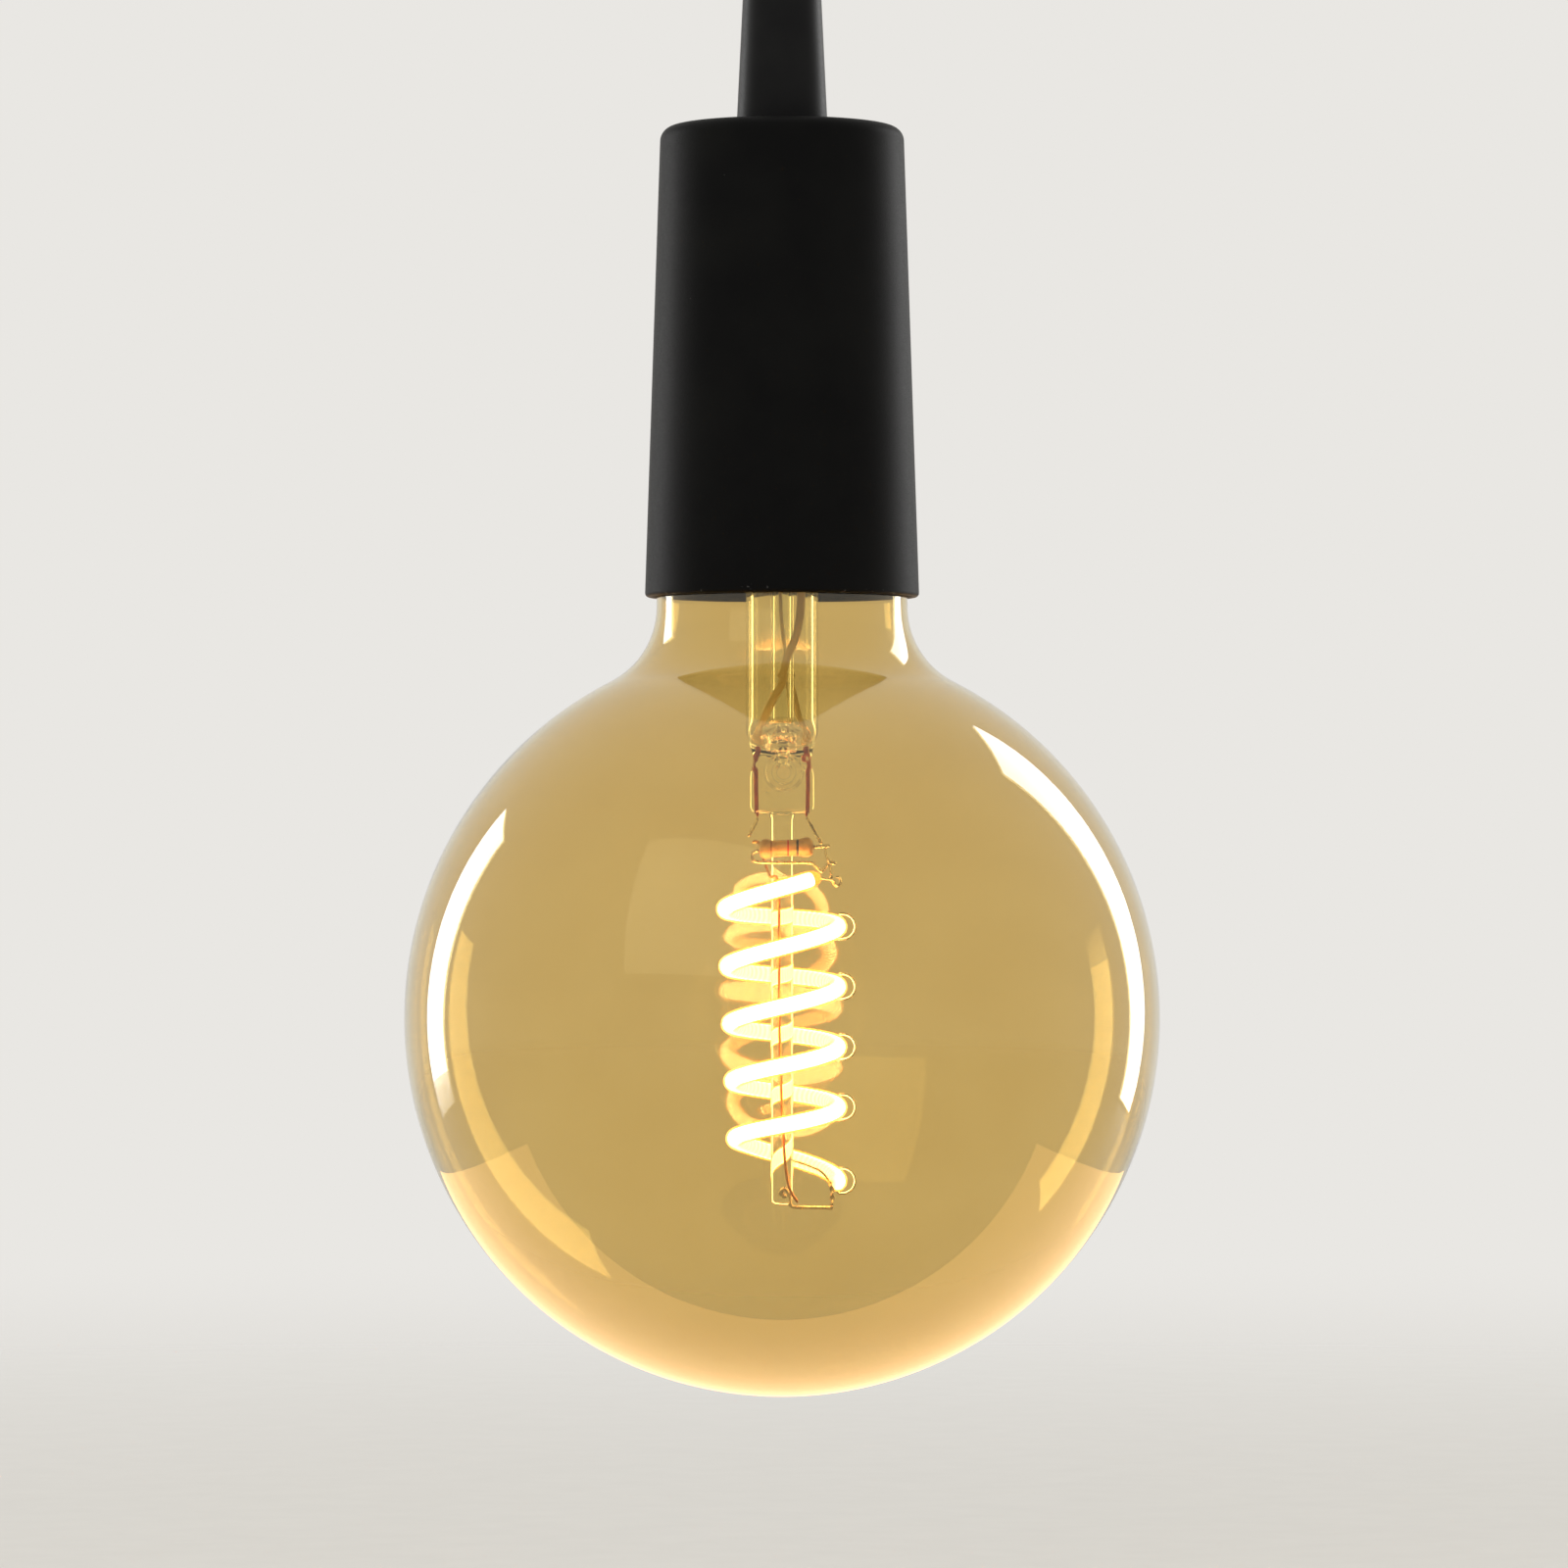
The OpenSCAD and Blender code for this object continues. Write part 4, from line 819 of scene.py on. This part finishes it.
# %% Blow the hole in the press
HOLE_X = 0.3
HOLE_Z = -72.5
HOLE_R = 1.3
DOME_R = 3.3
DOME_RISE = 0.35
RIPPLES = {1.75: 0.26, 2.7: 0.34}
RIPPLE_HALF = 0.55
LUMPS = {(3.9, -70.3): 0.5, (3.4, -71.5): 0.35, (-3.9, -71.3): 0.35, (-3.1, -70.4): 0.25, (-2.6, -76.4): 0.12}
LUMP_R = 0.9
RELIEF_REACH = 5.2
CHANNEL_L = 5


def mound(away, reach):
    """A round mound one high, which ends at a reach from its middle."""
    return max(1 - (away / reach) ** 2, 0) ** 2


def press_relief(x, z):
    """How far the press's faces stand out at a point: a dome with ripples round the hole, and lumps."""
    away = hypot(x - HOLE_X, z - HOLE_Z)
    rise = DOME_RISE * mound(away, DOME_R)
    for radius, height in RIPPLES.items():
        rise += height * mound(away - radius, RIPPLE_HALF)
    for (lump_x, lump_z), height in LUMPS.items():
        rise += height * mound(hypot(x - lump_x, z - lump_z), LUMP_R)
    return rise


def on_press(point):
    """Whether a point is on the front or the back of the press, near its hole."""
    near = hypot(point.x - HOLE_X, point.z - HOLE_Z) < RELIEF_REACH
    return near and abs(point.y) > 1.4 and point.z < POCKET_Z - 0.8


faces = [face for face in stem.faces if abs(face.normal.y) > 0.6 and on_press(face.calc_center_median())]
edges = list(dict.fromkeys(edge for face in faces for edge in face.edges))
bmesh.ops.subdivide_edges(stem, edges=edges, cuts=2, use_grid_fill=True)
for corner in stem.verts:
    if on_press(corner.co):
        corner.co.y += press_relief(corner.co.x, corner.co.z) * (1 if corner.co.y > 0 else -1)
drill = bmesh.new()
bmesh.ops.create_uvsphere(drill, u_segments=32, v_segments=20, radius=HOLE_R,
                          matrix=Matrix.Translation((HOLE_X, 0, HOLE_Z)) @ Matrix.Diagonal((1, 3.5, 1, 1)))
stem = cut(stem, drill)
channel = bmesh.new()
bmesh.ops.create_cone(channel, cap_ends=True, segments=32, radius1=0.9, radius2=1.2, depth=CHANNEL_L,
                      matrix=Matrix.Translation((HOLE_X / 2, 0, HOLE_Z + 3.2)))
stem = cut(stem, channel)
as_piece(stem, "pressed_stem", "lamp", "clear_glass", ["glass_stem"], smooth_below=50)

# %% [markdown]
# The exhaust tube stands inside the stem. The air was pumped out through it and it was melted shut at
# the top. The support rod is solid, and melted to the middle of the press, where it spreads a little.
#
# Both outlines have a point every few millimetres, also where they are straight. Smooth shading blends
# the directions of a face's corners, and on one face as long as the tube the rounding of its end would
# lean over the whole length: light bends by these directions, and the tube would turn dark.

# %% Draw the exhaust tube
def lamp_levels(node):
    """The lowest and the highest level of a CAD part, from the lamp's centre contact."""
    return [corner.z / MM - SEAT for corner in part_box(node)]


tube_low, tube_high = lamp_levels("exhaust_tube")
TUBE_R = 1.95
TUBE_BORE = 1.2
outline = arc((0, tube_high - TUBE_R), TUBE_R, 90, 0, 12)
bore_top = tube_high - 2 * TUBE_R
outline += [(TUBE_R, z) for z in levels(bore_top, tube_low + 0.8, 4)]
outline += [(TUBE_R + 0.1, tube_low), (TUBE_BORE, tube_low)]
outline += [(TUBE_BORE, z) for z in levels(tube_low + 0.8, bore_top - 0.5, 4)]
outline += arc((0, bore_top), TUBE_BORE, 0, 90, 8)
tube = turned(outline, 48, closed=False)
as_piece(tube, "melted_exhaust_tube", "lamp", "clear_glass", ["exhaust_tube"], smooth_below=50)

# %% Draw the rod
ROD_R = 1.85
FOOT_R = 0.9
rod_low = lamp_levels("support_rod")[0]
outline = [(0, PRESS_END + 0.4), (ROD_R + 0.3, PRESS_END + 0.4), (ROD_R + 0.2, PRESS_END - 0.3),
           (ROD_R + 0.07, PRESS_END - 0.8), (ROD_R, PRESS_END - 1.6)]
outline += [(ROD_R, z) for z in levels(PRESS_END - 2.2, rod_low + FOOT_R + 0.4, 4)]
outline += arc((ROD_R - FOOT_R, rod_low + FOOT_R), FOOT_R, 0, -90, 10) + [(0, rod_low)]
rod = turned(outline, 48, closed=False)
as_piece(rod, "fused_support_rod", "lamp", "clear_glass", ["support_rod"], smooth_below=50)

# %% [markdown]
# ## The filament
#
# The silicone tube is wound round the rod in nearly five turns. The path is the one of the CAD solid,
# in finer steps, and hand winding shows in it: towards the foot the turns' left bends come in a little.
# The silicone is laid on in drops, one over each chip, so its radius rises and falls a little along the
# way, and it closes to a blunt point at both ends.

# %% The filament's path
COIL_R = 9.25
COIL_PITCH = 9.73
COIL_TURNS = 4.914
COIL_START = radians(-49.5)
FILAMENT_R = 1.55
COIL_TOP = PRESS_END - 11.1
COIL_TILT = 1.14
BEND_IN = 2.0
BEND_FROM = 0.16
END_TURN = 0.5
END_DROP = 2.3


def coil_point(turn):
    """A point of the spiral, a number of turns below its upper end."""
    angle, share = COIL_START - tau * turn, turn / COIL_TURNS
    z = COIL_TOP - COIL_PITCH * turn + COIL_TILT * (1 - share) * cos(angle)
    z -= END_DROP * ease((turn - COIL_TURNS + END_TURN) / END_TURN)
    bend_in = BEND_IN * (share - BEND_FROM) * max(-cos(angle), 0) ** 2
    return Vector((COIL_R * cos(angle) + bend_in, COIL_R * sin(angle), z))


def distances(path):
    """How far along a path each of its points lies."""
    return [0.0, *accumulate((b - a).length for a, b in zip(path, path[1:]))]


RINGS = 1120
coil_path = [coil_point(COIL_TURNS * ring / RINGS) for ring in range(RINGS + 1)]
along = distances(coil_path)
print("filament is", round(along[-1]), "mm long")

# %% A function for drawn wires
def drawn(path, radii, sides=12, across=None, thickness=1.0, twist=0.0):
    """A wire along a path of vectors, closed at both ends, with a radius for each point of the path.

    A thickness below one presses it to a strip that starts with its width across a direction, and twist
    turns the strip by that angle over its length. It starts as a flat grid and is rolled up round the
    path. Its UV map holds the share of a turn round the wire and the distance along it in millimetres."""
    last = len(path) - 1
    headings = [(path[min(i + 1, last)] - path[max(i - 1, 0)]).normalized() for i in range(last + 1)]
    side = headings[0].orthogonal() if across is None else across - across.dot(headings[0]) * headings[0]
    side.normalize()
    rings, along = [(side, headings[0].cross(side))], distances(path)
    for i in range(1, last + 1):
        side = headings[i - 1].rotation_difference(headings[i]) @ side
        rings.append((side, headings[i].cross(side)))
    bm = bmesh.new()
    chart = bm.loops.layers.uv.new("UVMap")
    bmesh.ops.create_grid(bm, x_segments=sides, y_segments=last, size=0.5, calc_uvs=True)
    for face in bm.faces:
        for loop in face.loops:
            loop[chart].uv.y = along[round((loop.vert.co.y + 0.5) * last)]
    for corner in bm.verts:
        i, angle = round((corner.co.y + 0.5) * last), tau * (corner.co.x + 0.5)
        wide, thin = radii[i] * cos(angle), radii[i] * thickness * sin(angle)
        lay = twist * i / last
        corner.co = path[i] + (wide * cos(lay) - thin * sin(lay)) * rings[i][0] \
            + (wide * sin(lay) + thin * cos(lay)) * rings[i][1]
    bmesh.ops.remove_doubles(bm, verts=bm.verts, dist=1e-4)
    bmesh.ops.holes_fill(bm, edges=[edge for edge in bm.edges if edge.is_boundary], sides=sides)
    bmesh.ops.recalc_face_normals(bm, faces=bm.faces)
    return bm


needle = drawn([Vector((0, 0, 0)), Vector((0, 0, 5))], [0.5, 0.1])
print("a needle has", len(needle.faces), "faces")
needle.free()

# %% Wind the filament
COAT_R = FILAMENT_R - 0.05
CORE_R = FILAMENT_R - 0.33
BLUNT_L = 2.6
INNER = slice(6, -6)


def coat_radius(distance, radius, drop):
    """Radius of a tube at a distance along the filament, with a drop over each chip."""
    blunt = min(min(distance, along[-1] - distance) / BLUNT_L, 1)
    return (radius + drop * cos(tau * distance / CHIP_PITCH)) * (0.35 + 0.65 * sqrt(1 - (1 - blunt) ** 2))


coat_bm = drawn(coil_path, [coat_radius(s, COAT_R, 0.045) for s in along], 16)
as_piece(coat_bm, "silicone_coat", "lamp", "lit_silicone", ["filament"], smooth_below=180)
core_bm = drawn(coil_path[INNER], [coat_radius(s, CORE_R, 0.03) for s in along[INNER]], 14)
as_piece(core_bm, "glowing_core", "lamp", "lit_silicone", smooth_below=180, finish=core)

# %% [markdown]
# ## The wires
#
# Every wire is a path of a few points, most of them the CAD model's, smoothed in finer steps. The leads
# come down from the driver's board through the stem, where they cross round the exhaust tube. Below
# the press the right one carries the resistor, and a thin wire runs down from the left one in front of
# the rod, to feed the spiral's lower end.

# %% The leads' way through the stem
BOARD_FOOT = -14.15
SEAL_X = 4.05
SEAL_TOP_X = 3.4
LEAD_START_DEG = {-1: -28, 1: 98}
LEAD_SHARE = {-1: 1.0, 1: 0.56}
CROSSING = ((0, 12), (20, 6), (50, 1.2), (60, -1.8), (87, -4.8))
lead_run = (STEM_BORE + TUBE_R) / 2
cross_z = TAPER_Z + 9.15
seal_top = POCKET_Z + 0.6


def lead_point(degrees, z):
    """A point between the exhaust tube and the bore of the stem."""
    return (lead_run * cos(radians(degrees)), lead_run * sin(radians(degrees)), z)


def lead_points(side):
    """From the board down to the sealed wire on the left, -1, or the right, 1.

    Each crossing point is a turn round the exhaust tube, in degrees, and a height over the crossing."""
    start, share = LEAD_START_DEG[side], LEAD_SHARE[side]
    points = [lead_point(start, BOARD_FOOT), lead_point(start, FLARE_Z)]
    points += [lead_point(start - share * swing, cross_z + rise) for swing, rise in CROSSING]
    points += [lead_point(start - share * 119, TAPER_Z + 1.15), (side * 3.1, side * 0.2, seal_top + 1.2),
               (side * SEAL_TOP_X, 0, seal_top + 0.15)]
    return points


print("each lead has", len(lead_points(1)), "points")

# %% Helpers for the mount's wires
def smooth_path(points, steps=8):
    """A curve through the points, with the given number of steps from each to the next."""
    knots = [Vector(point) for point in points]
    last = len(knots) - 1
    path = []
    for i in range(last):
        a, b, c, d = knots[max(i - 1, 0)], knots[i], knots[i + 1], knots[min(i + 2, last)]
        for step in range(steps):
            u = step / steps
            path.append(0.5 * (2 * b + (c - a) * u + (2 * a - 5 * b + 4 * c - d) * u * u
                               + (3 * b - a - 3 * c + d) * u ** 3))
    return path + [knots[last]]


def rounded_ends(path, radius, knob):
    """A radius for each point of a wire's path, with round ends. Above one, knob swells the last end."""
    along, radii = distances(path), []
    for distance in along:
        near_start, near_end = distance / radius, (along[-1] - distance) / radius
        reach, share = (near_start, 1) if near_start < near_end else (near_end, knob)
        swollen = radius * (1 + (share - 1) * max(1 - abs(reach - share) / (1.5 * share), 0))
        radii.append(swollen * (sqrt(1 - (1 - reach / share) ** 2) * 0.75 + 0.25 if reach < share else 1))
    return radii


def as_wire(path, radius, name, slot, nodes=(), sides=12, knob=1.0, finish=None, **strip):
    """A wire of the lamp as a piece. strip holds what presses it flat."""
    bm = drawn(path, rounded_ends(path, radius, knob), sides, **strip)
    as_piece(bm, name, "lamp", slot, nodes, finish=finish)


print("a step of the way:", smooth_path([(0, 0, 0), (1, 0, 0), (1, 1, 0)], 2)[1])

# %% Draw the leads and the return wire
LEAD_R = 0.3
SLEEVE_R = 0.65
RETURN_R = 0.24
ANCHOR_Z = lamp_levels("bottom_anchor")[0] + LEAD_R
LEAD_START = PRESS_END - 0.55
RESISTOR_Z = PRESS_END - 5.8
RESISTOR_Y = -3.75
front_y = -ROD_R - LEAD_R - 0.15
wires = {
    "outer_lead_left": (SLEEVE_R, lead_points(-1)),
    "outer_lead_right": (SLEEVE_R - 0.08, lead_points(1)),
    "seal_wire_left": (LEAD_R, [
        (-SEAL_TOP_X, 0, seal_top), (-SEAL_TOP_X - 0.2, 0, seal_top - 1.2), (-SEAL_X, 0, WAIST_Z - 0.4),
        (-SEAL_X - 0.1, 0.1, HOLE_Z - 1.5), (-SEAL_X, 0, PRESS_END - 0.4)]),
    "seal_wire_right": (LEAD_R, [
        (SEAL_TOP_X, 0, seal_top), (SEAL_TOP_X + 0.2, 0, seal_top - 1.2), (SEAL_X - 0.1, 0, WAIST_Z - 0.4),
        (SEAL_X + 0.1, -0.1, HOLE_Z - 1.5), (SEAL_X, 0, PRESS_END - 0.4)]),
    "inner_lead_left": (LEAD_R, [
        (-SEAL_X, 0, LEAD_START), (-SEAL_X - 0.4, -0.2, LEAD_START - 1),
        (-SEAL_X - 1.6, -0.6, LEAD_START - 3.2)]),
    "inner_lead_right": (LEAD_R, [
        (SEAL_X, 0, LEAD_START), (SEAL_X + 0.6, -0.6, LEAD_START - 1),
        (5.9, RESISTOR_Y + 1, RESISTOR_Z + 1.9), (6.7, RESISTOR_Y + 0.5, RESISTOR_Z + 0.9)]),
    "return_wire": (RETURN_R, [
        (-4.9, -0.9, LEAD_START - 4), (-3.8, -1.3, RESISTOR_Z + 1), (-3, front_y + 0.7, RESISTOR_Z - 1.8),
        (-2, front_y, RESISTOR_Z - 4.4), (-0.6, front_y, RESISTOR_Z - 7), (-0.4, front_y, rod_low + 28),
        (0.6, front_y, rod_low + 6), (2.6, front_y + 0.2, ANCHOR_Z + 0.75)]),
}
for node, (radius, points) in wires.items():
    slot = "sleeved_wire" if node.startswith("outer") else slot_of[node]
    finish = seal_finish if node.startswith("seal") else None
    as_wire(smooth_path(points), radius, "drawn_" + node, slot, [node], finish=finish)

# %% [markdown]
# The resistor is a rod of ceramic between two pressed-on caps, all dipped in enamel, which is why its
# ends are rounder and thicker than its waist.

# %% Turn the resistor
RESISTOR_R = 1.36
END_SWELL = 0.29
SWELL_FROM = 0.42
ROUND_FROM = 0.72
END_SHARE = 0.28


def resistor_radius(share):
    """Radius at a share of the half length, from the middle to the end."""
    end = max((share - ROUND_FROM) / END_SHARE, 0)
    swollen = RESISTOR_R + END_SWELL * ease((share - SWELL_FROM) / END_SHARE)
    return swollen * sqrt(max(1 - end ** 2.4, 0))


RESISTOR_X = 0.7
RESISTOR_HALF = 4.65
RESISTOR_TILT = radians(2.5)
RESISTOR_RISE = 0.2
shares = [i / 24 for i in range(25)]
half_line = [(resistor_radius(share), share * RESISTOR_HALF) for share in shares]
outline = [(x, -z) for x, z in half_line[:0:-1]] + half_line
resistor = turned(outline, 40, closed=False)
bmesh.ops.rotate(resistor, cent=(0, 0, 0), matrix=Matrix.Rotation(pi / 2 - RESISTOR_TILT, 3, "Y"),
                 verts=resistor.verts)
bmesh.ops.translate(resistor, vec=(RESISTOR_X, RESISTOR_Y, RESISTOR_Z + RESISTOR_RISE), verts=resistor.verts)
as_piece(resistor, "dipped_resistor", "lamp", "resistor_enamel", ["ballast_resistor"])

# %% [markdown]
# The resistor's wires show the hand of whoever made the lamp. The left one turns back in a small loop,
# runs under the body, dips in a V and comes up to the weld. The right one ends under the lead, and a
# link goes from there through the weld to the filament's tab. A spot weld leaves a bead with a spike.

# %% Bend the resistor's wires
WELD = Vector((7.85, -4.7, -87.35))
left_end = RESISTOR_X - RESISTOR_HALF + 0.1
right_end = RESISTOR_X + RESISTOR_HALF - 0.1
under_z = RESISTOR_Z - 2.15
RESISTOR_WIRE_R = 0.27
LINK_R = 0.22
bent = {
    "resistor_lead_left": [
        (left_end, RESISTOR_Y, RESISTOR_Z - 0.2), (left_end - 0.6, RESISTOR_Y, RESISTOR_Z - 0.35),
        (left_end - 1.15, RESISTOR_Y - 0.05, RESISTOR_Z - 0.8),
        (left_end - 1.05, RESISTOR_Y - 0.1, under_z + 0.6),
        (left_end - 0.1, RESISTOR_Y - 0.1, under_z + 0.05), (0, RESISTOR_Y - 0.1, under_z - 0.05),
        (4.6, RESISTOR_Y - 0.5, under_z - 0.1), (5.5, RESISTOR_Y - 0.7, under_z - 0.55),
        (6.35, RESISTOR_Y - 0.9, under_z - 1.45), (6.75, RESISTOR_Y - 1.0, under_z - 1.3),
        WELD + Vector((-0.2, 0, -0.15))],
    "resistor_lead_right": [
        (right_end, RESISTOR_Y, RESISTOR_Z + 0.35), (right_end + 0.45, RESISTOR_Y, RESISTOR_Z + 0.4),
        (6.9, RESISTOR_Y - 0.1, RESISTOR_Z + 0.5), (7.9, RESISTOR_Y - 0.2, RESISTOR_Z + 0.6)],
}
for node, points in bent.items():
    as_wire(smooth_path(points), RESISTOR_WIRE_R, "bent_" + node, "nickel_wire", [node])
link_path = smooth_path([(7.1, RESISTOR_Y - 0.2, RESISTOR_Z + 0.3), (7.35, -4.3, RESISTOR_Z - 1.2), WELD,
                         (8.0, -5.1, -88.8), (8.15, -5.3, -90.1)])
as_wire(link_path, LINK_R, "welded_link", "nickel_wire", knob=1.5)

# %% Make the bead of the weld
bead = bmesh.new()
bmesh.ops.create_icosphere(bead, subdivisions=3, radius=0.4)
SPIKES = {(1.0, 0.1, -0.25): 1.0, (-0.3, -0.8, 0.5): 0.25, (-0.6, 0.3, -0.7): 0.3}
for corner in bead.verts:
    outwards = corner.co.normalized()
    for heading, height in SPIKES.items():
        corner.co += outwards * height * max(outwards.dot(Vector(heading).normalized()), 0) ** 12
bmesh.ops.translate(bead, vec=WELD, verts=bead.verts)
as_piece(bead, "weld_bead", "lamp", "nickel_wire")

# %% [markdown]
# ## What holds the filament
#
# Each turn rests in a thin wire hook, sealed into the rod while the glass was soft. The hook runs out
# under the turn and curls up wide of its outer side, without touching it. The filament's upper tab is a
# thin flat strip with a curled end, and the lower one is twisted: it stands on a stout wire that comes
# out of the rod's foot. A flat strip is a drawn wire pressed flat, and a twist turns the flat along it.

# %% Bend the hooks and the anchor
HOOK_WIRE_R = 0.2
HOOK_R = FILAMENT_R + 0.35 + HOOK_WIRE_R
HOOK_X = COIL_R + 0.75
HOOK_END = 110
for number in range(1, 6):
    turn = number + COIL_START / tau
    low = coil_point(turn).z - HOOK_R
    if number < 5:
        stalk = [(1.1, 0, low + 0.1), (2.4, 0, low + 0.02), (5.5, 0, low - 0.05), (HOOK_X - 0.6, 0, low)]
    else:
        stalk = [(x, 0, coil_point(turn - acos(x / COIL_R) / tau).z - sag)
                 for x, sag in ((1.1, 0), (3, 0), (5, 0.1), (6.8, 0.5))] + [(HOOK_X - 0.6, 0, low)]
    curl = [Vector((x, 0, z)) for x, z in arc((HOOK_X, low + HOOK_R), HOOK_R, -90, HOOK_END, 28)]
    as_wire(smooth_path(stalk, 6) + curl, HOOK_WIRE_R, f"bent_hook_{number}", "nickel_wire",
            [f"support_hook_{number}"], 10, 1.3)

coil_end = coil_path[-1]
anchor_path = smooth_path([(0.45, 0.2, rod_low + 1.1), (-0.12, 0.1, rod_low + 1.8), (0.32, 0, rod_low + 2.65),
                           (0.84, -0.08, rod_low + 1.9), (1.05, -0.12, rod_low + 0.8),
                           (1.5, -0.2, ANCHOR_Z + 0.25), (2.3, -0.4, ANCHOR_Z), (5.0, -1.7, ANCHOR_Z),
                           (coil_end.x - 0.3, coil_end.y, ANCHOR_Z)])
as_wire(anchor_path, LEAD_R, "bent_bottom_anchor", "nickel_wire", ["bottom_anchor"], knob=1.4)

# %% Curl the upper tab and twist the lower one
TAB_HALF = 0.42
tab_path = smooth_path([(6.1, -6.95, -90.0), (7.0, -6.2, -90.15), (7.7, -5.6, -90.22), (8.39, -5.1, -90.54),
                        (8.73, -4.95, -91.2), (9.25, -4.9, -91.25), (9.72, -4.85, -90.6),
                        (9.45, -4.8, -89.85), (8.85, -4.8, -89.9)])
as_wire(tab_path, TAB_HALF, "curled_top_tab", "nickel_wire", ["top_tab"], across=Vector((-0.65, 0.76, 0)),
        thickness=0.35)

tab_foot = Vector((coil_end.x - 0.57, coil_end.y - 0.28, ANCHOR_Z + LEAD_R))
tab_path = [tab_foot + Vector((0.12 * sin(z), 0, z)) for z in levels(0, coil_end.z + 0.8 - tab_foot.z, 0.15)]
as_wire(tab_path, TAB_HALF, "twisted_bottom_tab", "nickel_wire", ["bottom_tab"], across=Vector((1, 0, 0)),
        thickness=0.4, twist=3 * pi)

# %% [markdown]
# ## The driver's board
#
# The board is a disc of glass-fibre sheet, punched a little smaller than the cap's bore so that it
# clears the rolled thread. Its edge keeps a fine break from the punch.

# %% Punch the driver's board
BOARD_R = 11.4
BREAK = 0.12
board_low, board_high = lamp_levels("driver_board")
outline = [(0, board_high), (BOARD_R - BREAK, board_high), (BOARD_R, board_high - BREAK),
           (BOARD_R, board_low + BREAK), (BOARD_R - BREAK, board_low), (0, board_low)]
as_piece(turned(outline, 64, closed=False), "punched_driver_board", "lamp", "circuit_board", ["driver_board"],
         smooth_below=38)
